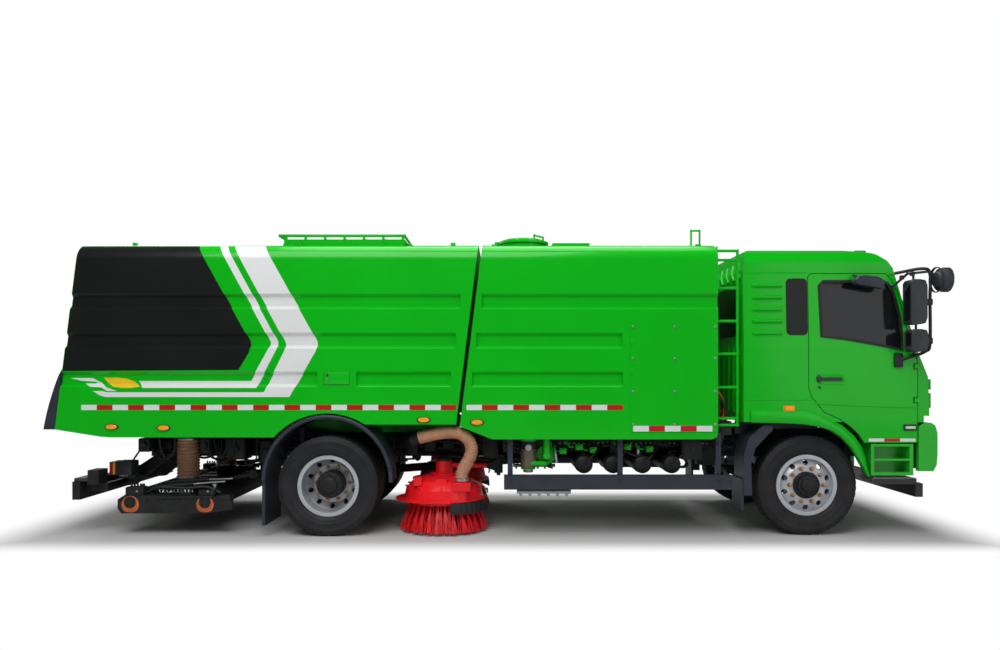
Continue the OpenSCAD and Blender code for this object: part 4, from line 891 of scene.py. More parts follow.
def nozzle_side(tag, s, x, y):
    """Fittings, bearing plates, skids, hoses and guide wheels at one end of the nozzle."""
    bm = bmesh.new()
    add_lathe(bm, [(0.114, 0.500), (0.121, 0.502), (0.121, 0.518), (0.114, 0.520)],
              (x, y, 0), UP, 40)
    # Lift eyes
    for dx in (0.42, -0.30):
        add_tube(bm, [(x + dx, s * 1.02, 0.39), (x + dx, s * 1.02, 0.47)], 0.012, 10, steps=1)
        add_disc(bm, (x + dx, s * 1.02, 0.47), UP, 0.024, 0.02)
    finish_mesh(f"nozzle_fittings_{tag}", bm, "steel", "nozzle")
    bm = bmesh.new()
    y0, y1 = s * 1.126, s * 1.136
    for rx in ROLLER_X:
        add_disc(bm, (rx, y0, 0.323), (0, s, 0), 0.058, 0.012)
        for c, d in around(4, 0.042, 0.5):
            add_hex(bm, (rx + c, y1, 0.323 + d), (0, s, 0), 0.009, 0.012)
    for bx in (-3.40, -3.24, -3.08, -2.70, -2.62):
        add_hex(bm, (bx, y0, 0.345), (0, s, 0), 0.011, 0.010)
    # Skid rail and wear strip
    add_box(bm, (-3.62, s * 1.108, 0.214), (-2.78, s * 1.13, 0.232), 0.004)
    add_box(bm, (-3.30, s * 1.126, 0.36), (-2.75, s * 1.14, 0.385), 0.004)
    finish_mesh(f"nozzle_side_{tag}", bm, "frame", "nozzle")
    bm = bmesh.new()
    add_tube(bm, [(-3.45, s * 1.05, 0.40), (-3.30, s * 1.06, 0.46), (-3.05, s * 1.06, 0.45),
                  (-2.85, s * 1.04, 0.46), (-2.70, s * 1.05, 0.40)], 0.016, 12)
    add_tube(bm, [(-3.50, s * 0.95, 0.42), (-3.2, s * 0.97, 0.48), (-2.9, s * 0.94, 0.44)],
             0.012, 12)
    finish_mesh(f"nozzle_spray_hose_{tag}", bm, "seal", "nozzle")
    bm = bmesh.new()
    for rx in ROLLER_X:
        add_lathe(bm, [(0.02, -0.012), (0.080, -0.012), (0.086, -0.008), (0.086, 0.008),
                       (0.080, 0.012), (0.02, 0.012)], (rx, s * 1.118, 0.298), (0, 1, 0), 36)
    finish_mesh(f"nozzle_guide_wheels_{tag}", bm, "orange", "nozzle")


def nozzle_works(tag, s):
    """Cylinders, boxes, rods and a spring on top of the nozzle."""
    bm = bmesh.new()
    add_tube(bm, [(-3.36, s * 1.03, 0.455), (-2.98, s * 1.03, 0.490)], 0.024, 14, steps=1)
    add_tube(bm, [(-3.30, s * 0.93, 0.490), (-2.86, s * 0.93, 0.520)], 0.020, 14, steps=1)
    add_box(bm, (-3.62, s * 1.00, 0.385), (-3.44, s * 1.12, 0.470), 0.010)
    add_box(bm, (-3.10, s * 0.96, 0.385), (-2.98, s * 1.10, 0.450), 0.008)
    add_box(bm, (-2.90, s * 0.98, 0.385), (-2.74, s * 1.12, 0.440), 0.008)
    add_box(bm, (-2.72, s * 1.02, 0.27), (-2.58, s * 1.13, 0.39), 0.010)
    for k in range(5):
        add_disc(bm, (-3.58 + 0.03 * k, s * 1.06, 0.470), UP, 0.010, 0.03, 10)
    finish_mesh(f"nozzle_works_{tag}", bm, "frame", "nozzle")
    bm = bmesh.new()
    add_tube(bm, [(-2.98, s * 1.03, 0.490), (-2.66, s * 1.03, 0.515)], 0.010, 12, steps=1)
    add_tube(bm, [(-2.86, s * 0.93, 0.520), (-2.62, s * 0.93, 0.530)], 0.009, 12, steps=1)
    coil = [(-3.30 + 0.006 * k, s * 1.09 + 0.018 * math.cos(k * 1.05),
             0.425 + 0.018 * math.sin(k * 1.05)) for k in range(60)]
    add_tube(bm, coil, 0.003, 6, steps=1)
    for bx in (-3.50, -3.16, -2.80):
        add_hex(bm, (bx, s * 1.12, 0.43), (0, s, 0), 0.012, 0.014)
    finish_mesh(f"nozzle_rods_{tag}", bm, "steel", "nozzle")


def rear_hoses(tag, s):
    """Hanging hoses, wires and valve boxes between the frame and the nozzle."""
    random.seed(31 if s > 0 else 32)
    bm = bmesh.new()
    for _ in range(12):
        x0 = random.uniform(-3.6, -2.35)
        y0 = s * random.uniform(0.50, 0.85)
        low_z = random.uniform(0.62, 0.74)
        x1 = x0 + random.uniform(0.12, 0.40)
        add_tube(bm, [(x0, y0, 0.97), (x0 + 0.02, y0, low_z + 0.10), ((x0 + x1) / 2, y0, low_z),
                      (x1, y0, low_z + 0.08), (x1 + 0.01, y0, 0.95)],
                 random.choice((0.008, 0.012, 0.016)), 8)
    for x0, x1, z0, z1 in ((-2.75, -2.55, 0.70, 0.92), (-3.02, -2.92, 0.76, 0.93),
                           (-2.40, -2.28, 0.66, 0.90), (-3.66, -3.54, 0.78, 0.92)):
        add_box(bm, (x0, s * 0.50, z0), (x1, s * 0.74, z1), 0.012)
        add_disc(bm, ((x0 + x1) / 2, s * 0.74, (z0 + z1) / 2), (0, s, 0), 0.035, 0.03, 20)
    finish_mesh(f"rear_hoses_{tag}", bm, "seal", "chassis")


def nozzle_details():
    """Everything on and above the suction nozzle."""
    hoses = []
    for tag, s in SIDES.items():
        x, y = DUCT_X, s * DUCT_Y
        hoses.append(nozzle_hose(tag, x, y))
        nozzle_side(tag, s, x, y)
        nozzle_works(tag, s)
        rear_hoses(tag, s)
    for hose in hoses:
        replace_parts(hose, "nozzle_hose")
    bm = bmesh.new()
    for s in (-1, 1):
        add_tube(bm, [(-3.42, s * 0.86, 0.40), (-3.42, s * 0.86, 0.445), (-2.98, s * 0.86, 0.445),
                      (-2.98, s * 0.86, 0.40)], 0.012, 10, steps=3)
    for k in range(7):
        y = -0.9 + k * 0.3
        add_box(bm, (-3.455, y - 0.006, 0.388), (-2.94, y + 0.006, 0.404), 0.002)
    finish_mesh("nozzle_ribs", bm, "frame", "nozzle")
    # Rubber flaps around the suction chamber
    bm = bmesh.new()
    for x in (-3.462, -2.936):
        for k in range(22):
            y = -1.09 + k * 0.1
            add_box(bm, (x - 0.004, y, 0.213), (x + 0.004, min(y + 0.096, 1.095), 0.30), 0.002)
    finish_mesh("nozzle_flaps", bm, "seal", "nozzle")


# Cab

def loop_band(bm, outline, y, s, inner, thick):
    """Raised rubber frame around an X-Z outline on the cab side, as wide as twice inner."""
    middle = Vector((sum(p[0] for p in outline) / len(outline), 0,
                     sum(p[1] for p in outline) / len(outline)))
    count = len(outline)
    rings = []
    for grow, out in ((1.0, 0.0), (1.0, thick), (-1.0, thick), (-1.0, 0.0)):
        ring = []
        for i, (x, z) in enumerate(outline):
            before = Vector((outline[i - 1][0], 0, outline[i - 1][1]))
            after = Vector((outline[(i + 1) % count][0], 0, outline[(i + 1) % count][1]))
            along = (after - before).normalized()
            out_way = Vector((along.z, 0, -along.x))
            spot = Vector((x, 0, z))
            if (spot - middle).dot(out_way) < 0:
                out_way.negate()
            spot += out_way * inner * grow
            ring.append(bm.verts.new((spot.x, s * (y(spot.z) + out), spot.z)))
        rings.append(ring)
    add_skin(bm, rings + rings[:1])
    face_outward(bm)


def cab_side_y(z):
    """Half width of the cab skin at height z."""
    if z < 1.85:
        return CAB_HALF
    if z < 2.68:
        return CAB_HALF - 0.038 * (z - 1.85) / 0.83
    return CAB_HALF - 0.038 - 0.047 * (z - 2.68) / 0.095


def rounded(points, radius, steps=4):
    """Outline with its corners rounded."""
    out = []
    count = len(points)
    for i in range(count):
        a, b, c = (Vector(points[i - 1]), Vector(points[i]), Vector(points[(i + 1) % count]))
        r = min(radius, (a - b).length * 0.45, (c - b).length * 0.45)
        start = b + (a - b).normalized() * r
        end = b + (c - b).normalized() * r
        for k in range(steps + 1):
            t = k / steps
            out.append(tuple(start.lerp(b, t).lerp(b.lerp(end, t), t)))
    return out


DOOR_WINDOW = [(3.203, 1.948), (3.42, 1.93), (3.70, 1.88), (3.99, 1.822), (3.978, 2.0),
               (3.962, 2.148), (3.912, 2.37), (3.858, 2.462), (3.815, 2.488), (3.225, 2.488),
               (3.187, 2.45)]
QUARTER = [(2.861, 1.963), (3.070, 1.963), (3.070, 2.517), (2.861, 2.517)]
ARCH_IN = [(2.513, 1.113), (2.80, 1.108), (3.023, 1.097), (3.18, 1.073), (3.289, 1.035),
           (3.39, 0.970), (3.482, 0.876), (3.530, 0.800), (3.571, 0.727), (3.615, 0.650),
           (3.645, 0.590)]
ARCH_OUT = [(2.513, 1.262), (2.80, 1.262), (3.03, 1.258), (3.14, 1.232), (3.245, 1.165),
            (3.405, 1.085), (3.520, 0.985), (3.590, 0.885), (3.627, 0.790), (3.650, 0.690),
            (3.672, 0.590)]
DOOR_EDGE = [(3.112, 1.358), (3.229, 1.215), (3.373, 1.153), (3.48, 1.08), (3.56, 1.005),
             (3.619, 0.918), (4.133, 0.918), (4.133, 1.70), (4.085, 1.817), (4.005, 2.148),
             (3.95, 2.379), (3.893, 2.5), (3.835, 2.562), (3.11, 2.562), (3.08, 2.53), (3.08, 1.45)]


def door_details(tag, s):
    """Rubbers, crease, handle, lamp and tape of a door."""
    door = f"cab_door_{tag}"
    skin = CAB_HALF
    bm = bmesh.new()
    loop_band(bm, DOOR_WINDOW, cab_side_y, s, 0.014, 0.006)
    finish_mesh(f"window_rubber_{tag}", bm, "seal", door)
    bm = bmesh.new()
    add_tube(bm, [(x, s * (skin - 0.001), z)
                  for x, z in ((3.13, 1.298), (3.60, 1.275), (4.118, 1.262))], 0.008, 10, steps=4)
    finish_mesh(f"door_crease_{tag}", bm, "green", door)
    # Dark seam around the door
    bm = bmesh.new()
    loop_band(bm, DOOR_EDGE, lambda z: cab_side_y(z) - 0.022, s, 0.006, 0.004)
    finish_mesh(f"door_seal_{tag}", bm, "seal", "cab")
    # Handle in its shallow cup, with a key lock
    bm = bmesh.new()
    cup = rounded([(3.175, 1.478), (3.452, 1.478), (3.452, 1.600), (3.175, 1.600)], 0.06, 8)
    rings = [[bm.verts.new((3.3135 + (x - 3.3135) * wide, s * (skin + out),
                            1.539 + (z - 1.539) * high)) for x, z in cup]
             for wide, high, out in ((1.0, 1.0, 0.001), (0.90, 0.82, 0.004), (0.78, 0.62, 0.0005))]
    add_skin(bm, rings, 1)
    bm.faces.new(rings[-1]).material_index = 1
    face_outward(bm, s)
    add_box(bm, (3.155, s * (skin - 0.004), 1.520), (3.400, s * (skin + 0.026), 1.554), 0.012)
    add_box(bm, (3.150, s * (skin - 0.004), 1.512), (3.200, s * (skin + 0.020), 1.564), 0.012)
    add_disc(bm, (3.180, s * (skin - 0.001), 1.455), (0, s, 0), 0.013, 0.008)
    finish_mesh(f"door_handle_{tag}", bm, ["plastic", "green"], door)
    bm = bmesh.new()
    add_box(bm, (3.995, s * (skin - 0.001), 1.036), (4.124, s * (skin + 0.014), 1.095), 0.008)
    add_box(bm, (4.005, s * (skin + 0.012), 1.046), (4.114, s * (skin + 0.018), 1.085), 0.006,
            slot=1)
    finish_mesh(f"step_lamp_{tag}", bm, ["seal", "lens"], door)
    bm = bmesh.new()
    for i in range(3):
        x = 3.66 + i * 0.152
        add_box(bm, (x, s * skin, 0.928), (x + 0.150, s * (skin + 0.0015), 0.958), slot=i % 2)
    finish_mesh(f"tape_door_{tag}", bm, ["tape_white", "tape_red"], door, smooth=False)


def cab_side(tag, s):
    """Quarter window, cooling ribs, wheel arch flare and side lamp behind a door."""
    bm = bmesh.new()
    bm.faces.new([bm.verts.new((x, s * (cab_side_y(z) + 0.003), z))
                  for x, z in rounded(QUARTER, 0.05)])
    face_outward(bm)
    solid = bmesh.ops.extrude_face_region(bm, geom=bm.faces[:])
    moved = [v for v in solid["geom"] if isinstance(v, bmesh.types.BMVert)]
    bmesh.ops.translate(bm, verts=moved, vec=(0, -s * 0.006, 0))
    face_outward(bm)
    # Opaque black pane: painted shade of the cab interior behind the quarter window.
    finish_mesh(f"quarter_pane_{tag}", bm, "black_glass", "cab")
    bm = bmesh.new()
    for z in (2.45, 2.334, 2.218, 2.102, 1.986):
        y = cab_side_y(z)
        add_tube(bm, [(2.545, s * (y - 0.010), z), (2.56, s * (y + 0.004), z),
                      (2.79, s * (y + 0.004), z), (2.805, s * (y - 0.010), z)], 0.020, 14, steps=3)
    # Belt crease and roof seam
    for z, x1 in ((1.335, 3.10), (2.575, 3.075)):
        y = s * (cab_side_y(z) - 0.003)
        add_tube(bm, [(2.455, y, z), (x1, y, z)], 0.008, 10, steps=1)
    finish_mesh(f"cab_ribs_{tag}", bm, "green", "cab")
    # Flared panel over the wheel, with a thick lip
    bm = bmesh.new()
    rows = []
    for low, high in zip(ARCH_IN, ARCH_OUT):
        row = []
        for share, out in ((0.0, -0.045), (0.0, 0.010), (0.12, 0.022), (0.55, 0.020),
                           (0.85, 0.004), (1.0, -0.006), (1.0, -0.045)):
            spot = Vector(low).lerp(Vector(high), share)
            row.append(bm.verts.new((spot.x, s * (CAB_HALF + out), spot.y)))
        rows.append(row)
    add_skin(bm, rows, closed=False)
    face_outward(bm, s)
    finish_mesh(f"arch_flare_{tag}", bm, "green", "cab", angle=50)
    bm = bmesh.new()
    add_tube(bm, [(x + 0.004, s * (CAB_HALF - 0.030), z + 0.006) for x, z in ARCH_IN], 0.012, 10,
             steps=2)
    finish_mesh(f"arch_seal_{tag}", bm, "seal", "cab")
    bm = bmesh.new()
    add_box(bm, (2.828, s * (CAB_HALF - 0.001), 1.222), (2.938, s * (CAB_HALF + 0.012), 1.278),
            0.008, slot=1)
    add_box(bm, (2.838, s * (CAB_HALF + 0.010), 1.230), (2.928, s * (CAB_HALF + 0.020), 1.270),
            0.008)
    finish_mesh(f"cab_side_lamp_{tag}", bm, ["amber", "seal"], "cab")


def step_treads(tag, s):
    """Studded aluminium tread with its edge on the cab step."""
    bm = bmesh.new()
    for i in range(12):
        for k in range(3):
            add_box(bm, (3.715 + i * 0.032, s * (0.99 + k * 0.085), 0.570),
                    (3.737 + i * 0.032, s * (1.05 + k * 0.085), 0.575), 0.001)
    finish_mesh(f"step_treads_{tag}", bm, "alloy", "chassis")
    bm = bmesh.new()
    add_box(bm, (3.700, s * 0.95, 0.515), (4.120, s * 1.235, 0.573), 0.004)
    finish_mesh(f"step_tread_edge_{tag}", bm, "alloy", "chassis")


def cab_sides():
    """Both sides of the cab."""
    for tag, s in SIDES.items():
        door_details(tag, s)
        cab_side(tag, s)
        step_treads(tag, s)


def round_side_edges(bm, width):
    """Rounds the edges that run within an X-Z face of a prism."""
    edges = [e for e in bm.edges if abs(e.verts[0].co.y - e.verts[1].co.y) < 1e-5]
    bmesh.ops.bevel(bm, geom=edges, offset=width, segments=3, affect="EDGES", profile=0.5)


def mirror_details():
    """Glass, shells, joints and arms of the door mirrors, and the kerb mirror."""
    for tag, s in SIDES.items():
        door = f"cab_door_{tag}"
        bm = bmesh.new()
        for x, z0, z1, half in ((3.953, 2.085, 2.450, 0.068), (3.963, 1.822, 1.983, 0.060)):
            outline = rounded([(-half, z0), (half, z0), (half, z1), (-half, z1)], 0.02)
            bm.faces.new([bm.verts.new((x, s * MIRROR_Y + a, z)) for a, z in outline])
        face_outward(bm)
        for f in bm.faces:
            if f.normal.x > 0:
                f.normal_flip()
        finish_mesh(f"mirror_glass_{tag}", bm, "mirror", door, smooth=False)
        bm = bmesh.new()
        for x0, x1, z0, z1, half in ((3.950, 4.100, 2.055, 2.480, 0.084),
                                     (3.960, 4.116, 1.795, 2.010, 0.076)):
            profile = rounded([(x0, z0), (x1 - 0.03, z0), (x1 + 0.004, z0 + 0.05),
                               (x1 + 0.004, z1 - 0.05), (x1 - 0.03, z1), (x0, z1)], 0.03)
            add_prism(bm, profile, s * MIRROR_Y - half, s * MIRROR_Y + half)
        round_side_edges(bm, 0.018)
        cut = [f for f in bm.faces if f.normal.x < -0.98 and f.calc_area() > 0.01]
        bmesh.ops.inset_region(bm, faces=cut, thickness=0.012)
        bmesh.ops.translate(bm, verts=list(dict.fromkeys(v for f in cut for v in f.verts)),
                            vec=(0.008, 0, 0))
        face_outward(bm)
        finish_mesh(f"mirror_shell_{tag}", bm, "plastic", door)
        bm = bmesh.new()
        for x, z in ((4.000, 2.540), (3.900, 2.505), (4.180, 2.540)):
            add_disc(bm, (x, s * MIRROR_Y, z - 0.020), UP, 0.022, 0.040)
        add_lathe(bm, [(0.118, 0.000), (0.122, 0.006), (0.122, 0.020), (0.114, 0.026)],
                  (4.205, s * 1.415, 2.48), AHEAD, 40)
        # Thicker arms, the lower bracket on the door and the kerb mirror's arm
        add_tube(bm, [(3.945, s * 1.236, 1.720), (4.02, s * 1.30, 1.745), (4.130, s * 1.385, 1.800),
                      (4.166, s * 1.400, 1.880), (4.166, s * 1.400, 2.300), (4.166, s * 1.400, 2.540),
                      (4.10, s * 1.380, 2.590), (3.90, s * 1.25, 2.560)], 0.015, 12, steps=6)
        add_box(bm, (3.900, s * 1.228, 1.650), (3.985, s * 1.262, 1.790), 0.012)
        add_tube(bm, [(3.52, s * 1.215, 2.545), (3.52, s * 1.27, 2.530), (3.56, s * 1.30, 2.500)],
                 0.012, 10)
        for z in (1.90, 2.27):
            add_box(bm, (4.095, s * 1.375, z - 0.03), (4.185, s * 1.425, z + 0.03), 0.008)
        finish_mesh(f"mirror_joints_{tag}", bm, "seal", door)
        bm = bmesh.new()
        add_prism(bm, rounded([(3.470, 2.455), (3.760, 2.405), (3.770, 2.440), (3.730, 2.515),
                               (3.560, 2.535), (3.490, 2.515)], 0.03), s * 1.255, s * 1.350)
        round_side_edges(bm, 0.016)
        face_outward(bm)
        finish_mesh(f"kerb_mirror_{tag}", bm, "slate", door)


def screen_point(share, out):
    """Point at a share of the windscreen's height, standing out from it."""
    a, b = Vector((4.131, 0, 1.817)), Vector((3.909, 0, 2.621))
    normal = Vector((0.804, 0, 0.222)).normalized()
    return a.lerp(b, share) + normal * out


def add_pane(bm, outline, front_x, back_x):
    """Adds a Y-Z outline as a pane with a rim around it."""
    rings = [[bm.verts.new((x, y, z)) for y, z in outline] for x in (front_x, back_x)]
    bm.faces.new(rings[0])
    add_skin(bm, rings)


def cab_front():
    """Windscreen rubber and wipers, grille, headlamps, bumper fittings and roof markers."""
    bm = bmesh.new()
    path = [Vector((0, y, 0)) + screen_point(share, 0.0)
            for y, share in ((-1.11, 0.03), (1.11, 0.03), (1.11, 0.93), (-1.11, 0.93))]
    for a, b in zip(path, path[1:] + path[:1]):
        add_tube(bm, [a, b], 0.014, 10, steps=1)
    # Wipers
    foot, tip = screen_point(-0.03, 0.02), screen_point(0.20, 0.022)
    low, high = screen_point(0.12, 0.016), screen_point(0.28, 0.016)
    for y0, y1 in ((-0.75, -0.02), (0.12, 0.85)):
        add_tube(bm, [(foot.x, y0, foot.z), (tip.x, y1, tip.z)], 0.008, 8, steps=1)
        add_tube(bm, [(low.x, y1 - 0.28, low.z), (high.x, y1 + 0.22, high.z)], 0.010, 8, steps=1)
        add_disc(bm, (foot.x - 0.01, y0, foot.z), AHEAD, 0.022, 0.03)
    finish_mesh("windscreen_rubber", bm, "seal", "cab")
    # Black grille bars
    bm = bmesh.new()
    for z in (1.408, 1.422):
        add_box(bm, (4.240, -1.06, z - 0.006), (4.262, 1.06, z + 0.006), 0.002)
    for z0, z1 in ((1.262, 1.290), (1.330, 1.350), (1.452, 1.470), (1.496, 1.514)):
        add_box(bm, (4.275, -0.98, z0), (4.288, 0.98, z1), 0.004)
    add_box(bm, (4.236, -1.10, 1.56), (4.246, 1.10, 1.60), 0.004)
    finish_mesh("front_grille", bm, "plastic", "cab")
    bm = bmesh.new()
    for s in (-1, 1):
        for y, r in ((s * 0.84, 0.062), (s * 0.98, 0.055)):
            add_lathe(bm, [(0.010, -0.02), (r * 0.7, -0.012), (r, 0.012), (r + 0.006, 0.014)],
                      (4.285, y, 0.88), AHEAD, 28, slot=1)
        outline = rounded([(s * 0.765, 0.805), (s * 1.055, 0.805), (s * 1.055, 0.955),
                           (s * 0.765, 0.955)], 0.03)
        add_pane(bm, outline, 4.318, 4.300)
    face_outward(bm)
    finish_mesh("headlamps", bm, ["lens", "steel"], "chassis")
    bm = bmesh.new()
    for z in (0.735, 0.762, 0.789, 0.816):
        add_box(bm, (4.283, -0.41, z - 0.006), (4.300, 0.41, z + 0.006), 0.003)
    for s in (-1, 1):
        add_box(bm, (4.316, s * 0.30, 0.90), (4.324, s * 0.62, 0.95), 0.006)
    finish_mesh("bumper_grille", bm, "plastic", "chassis")
    bm = bmesh.new()
    add_box(bm, (4.322, -0.23, 0.985), (4.3285, 0.23, 1.075), 0.003)
    finish_mesh("front_plate_holder", bm, "grey", "chassis")
    # Roof markers
    bm = bmesh.new()
    for y in (-0.95, 0.95):
        add_box(bm, (3.62, y - 0.05, 2.79), (3.74, y + 0.05, 2.822), 0.012)
    for y in (-0.45, 0.0, 0.45):
        add_box(bm, (3.60, y - 0.04, 2.835), (3.69, y + 0.04, 2.862), 0.012, slot=1)
    finish_mesh("roof_markers", bm, ["green", "amber"], "cab")
    # Sun visors and a driver's display behind the glass
    bm = bmesh.new()
    for s in (-1, 1):
        add_box(bm, (3.80, s * 0.15, 2.47), (3.82, s * 0.95, 2.60), 0.008,
                turn=Matrix.Rotation(math.radians(-20), 4, "Y"))
    add_box(bm, (3.79, -0.14, 1.74), (3.82, 0.16, 1.90), 0.01)
    finish_mesh("sun_visors", bm, "plastic", "cab")


def cab_back():
    """Ribs and window on the cab's rear wall, cables and boxes in the gap behind it."""
    bm = bmesh.new()
    for k in range(13):
        y = -1.08 + k * 0.18
        add_tube(bm, [(2.443, y, 1.20), (2.443, y, 1.86)], 0.014, 10, steps=1)
    for k in range(12):
        y = -1.10 + k * 0.2
        add_tube(bm, [(2.445, y, 2.52), (2.440, y + 0.06, 2.60), (2.470, y + 0.10, 2.68)], 0.020, 10,
                 steps=2)
    finish_mesh("cab_back_ribs", bm, "green", "cab")
    bm = bmesh.new()
    outline = rounded([(-0.98, 1.965), (0.98, 1.965), (0.98, 2.465), (-0.98, 2.465)], 0.06, 6)
    add_pane(bm, outline, 2.438, 2.449)
    face_outward(bm)
    # Opaque black pane: painted shade of the cab interior behind the rear window.
    finish_mesh("rear_screen", bm, "black_glass", "cab")
    # Clutter low in the gap: junction boxes, orange cables and dark hoses
    random.seed(5)
    bm = bmesh.new()
    for k in range(14):
        y = -1.12 + k * 0.075
        z1 = random.uniform(1.15, 1.50)
        add_tube(bm, [(2.20, y, z1), (2.26, y, z1 - 0.04), (2.31, y + 0.03, z1 - 0.16),
                      (2.28, y + 0.02, 1.0), (2.24, y, 0.90)], random.choice((0.010, 0.016)), 8,
                 slot=k % 2)
    for k in range(5):
        add_box(bm, (2.24, -1.12 + k * 0.2, 0.98), (2.36, -1.00 + k * 0.2, 1.12), 0.010)
    finish_mesh("gap_cables", bm, ["seal", "cable"], "chassis")
    bm = bmesh.new()
    for k in range(4):
        y = -0.55 + k * 0.14
        add_tube(bm, [(2.195, y, 1.75), (2.26, y, 1.70), (2.30, y + 0.02, 1.45),
                      (2.30, y + 0.04, 1.15), (2.24, y + 0.05, 0.98)], 0.016, 12)
    finish_mesh("battery_cables", bm, "cable", "chassis")
    bm = bmesh.new()
    for y in (-0.25, 0.3):
        add_box(bm, (2.194, y - 0.10, 1.62), (2.235, y + 0.10, 1.86), 0.012)
    add_box(bm, (2.194, -0.62, 1.68), (2.215, -0.06, 1.80), 0.008)
    finish_mesh("cable_boxes", bm, "plastic", "chassis")


def seat_trim():
    """Stitched channels and belts of the seats."""
    bm = bmesh.new()
    for s in (-1, 1):
        for k in range(4):
            y = s * (0.46 + k * 0.11)
            add_tube(bm, [(3.04, y, 1.474), (3.45, y, 1.474)], 0.012, 10, steps=1)
            add_tube(bm, [(3.085, y, 1.56), (2.965, y, 2.05)], 0.012, 10, steps=1)
        add_tube(bm, [(2.93, s * 0.56, 2.06), (2.92, s * 0.56, 2.14)], 0.010, 8, steps=1)
    finish_mesh("seat_channels", bm, "fabric", "cab")
    bm = bmesh.new()
    for s in (-1, 1):
        add_tube(bm, [(2.62, s * 1.04, 2.20), (2.88, s * 0.90, 2.10), (3.02, s * 0.60, 1.62),
                      (3.04, s * 0.42, 1.50)], 0.006, 6)
    finish_mesh("seat_belts", bm, "seal", "cab")


# Chassis

def rail_details():
    """Pipes and cables along the frame rails, with their clips and brackets."""
    bm = bmesh.new()
    random.seed(11)
    for s in (-1, 1):
        for k in range(7):
            z = 0.74 + k * 0.032
            y = s * (0.438 + 0.018 * (k % 2))
            points = [(x, y + s * random.uniform(-0.004, 0.012), z + random.uniform(-0.012, 0.012))
                      for x in [-3.6 + 0.45 * i for i in range(17)]]
            add_tube(bm, points, 0.009 + 0.004 * (k % 3), 8, steps=4)
        for k in range(16):
            x = -3.3 + k * 0.45
            add_box(bm, (x - 0.012, s * 0.431, 0.72), (x + 0.012, s * 0.476, 0.95), 0.004)
    finish_mesh("rail_lines", bm, "seal", "chassis")
    bm = bmesh.new()
    for s in (-1, 1):
        for x in (-3.45, -2.95, -2.3, -0.95, -0.35, 0.25, 0.75, 1.2, 1.75, 2.25, 2.75, 3.4):
            add_box(bm, (x - 0.055, s * 0.431, 0.79), (x + 0.055, s * 0.520, 0.88), 0.008)
            for dx in (-0.035, 0.035):
                add_hex(bm, (x + dx, s * 0.52, 0.835), (0, s, 0), 0.014, 0.016)
    finish_mesh("rail_brackets", bm, "frame", "chassis")


def air_tank_details():
    """Straps, end caps and air lines of the four tanks."""
    bm = bmesh.new()
    for i in range(4):
        x = REAR_X + 2.510 + i * 0.290
        for y in (-0.58, -1.0):
            add_lathe(bm, [(0.0885, -0.014), (0.0915, -0.013), (0.0915, 0.013), (0.0885, 0.014)],
                      (x, y, TANK_Z), (0, 1, 0), 36)
        add_lathe(bm, [(0.088, 0.0), (0.082, 0.016), (0.060, 0.028), (0.030, 0.034),
                       (0.0, 0.036)], (x, -1.088, TANK_Z), (0, -1, 0), 32)
        add_hex(bm, (x, -1.122, TANK_Z), (0, -1, 0), 0.018, 0.016)
        add_tube(bm, [(x, -1.13, TANK_Z), (x + 0.03, -1.15, 0.73), (x + 0.10, -1.13, 0.80),
                      (x + 0.17, -1.0, 0.86)], 0.007, 8)
    finish_mesh("tank_straps", bm, "frame", "chassis")


def service_lines():
    """Loose hoses and green valves above the air tanks."""
    bm = bmesh.new()
    random.seed(23)
    for _ in range(18):
        x = random.uniform(0.1, 2.1)
        y = -random.uniform(0.6, 1.05)
        z = random.uniform(0.80, 0.97)
        points = [(x, y, z)]
        for _ in range(4):
            x += random.uniform(0.05, 0.16)
            z += random.uniform(-0.07, 0.07)
            y += random.uniform(-0.06, 0.06)
            points.append((x, max(-1.12, min(-0.56, y)), max(0.66, min(0.985, z))))
        add_tube(bm, points, random.choice((0.008, 0.011, 0.015)), 8)
    finish_mesh("service_hoses", bm, "seal", "chassis")
    bm = bmesh.new()
    for x, z in ((0.70, 0.82), (0.86, 0.86), (1.00, 0.83), (1.34, 0.86), (1.56, 0.84)):
        add_box(bm, (x - 0.035, -1.08, z - 0.03), (x + 0.035, -0.98, z + 0.03), 0.008)
        add_disc(bm, (x, -1.08, z), (0, -1, 0), 0.020, 0.018)
        add_tube(bm, [(x - 0.05, -1.03, z), (x - 0.09, -1.03, z), (x - 0.13, -1.0, z + 0.05)],
                 0.010, 8)
    finish_mesh("service_valves", bm, "green", "chassis")


def side_bay():
    """Perforated beam, boxes and pipes across the side bay."""
    bm = bmesh.new()
    for s in (-1, 1):
        add_box(bm, (0.62, s * 0.90, 0.845), (2.32, s * 0.93, 0.985), 0.004)
        for k in range(34):
            for z in (0.885, 0.945):
                add_disc(bm, (0.68 + k * 0.048, s * 0.93, z), (0, s, 0), 0.010, 0.004, 10, slot=1)
        for x0, x1, z0, z1, y in ((-0.10, 0.06, 0.72, 0.98, 0.80), (0.10, 0.24, 0.80, 0.99, 0.95),
                                  (0.52, 0.60, 0.66, 0.97, 0.92), (2.08, 2.30, 0.66, 0.97, 0.88),
                                  (1.18, 1.30, 0.78, 0.96, 1.00)):
            add_box(bm, (x0, s * (y - 0.12), z0), (x1, s * y, z1), 0.012)
        for k in range(5):
            x = REAR_X + 0.70 + 0.19 * k
            add_box(bm, (x, s * 0.50, 0.74 + 0.03 * (k % 3)), (x + 0.12, s * 0.63, 0.98), 0.012)
        for z, y in ((0.70, 0.52), (0.78, 0.57), (0.86, 0.62)):
            add_tube(bm, [(-0.95, s * y, z + 0.08), (-0.3, s * y, z), (0.5, s * y, z),
                          (1.4, s * y, z + 0.02), (2.3, s * y, z)], 0.022, 12)
    finish_mesh("side_bay", bm, ["frame", "grey"], "chassis")


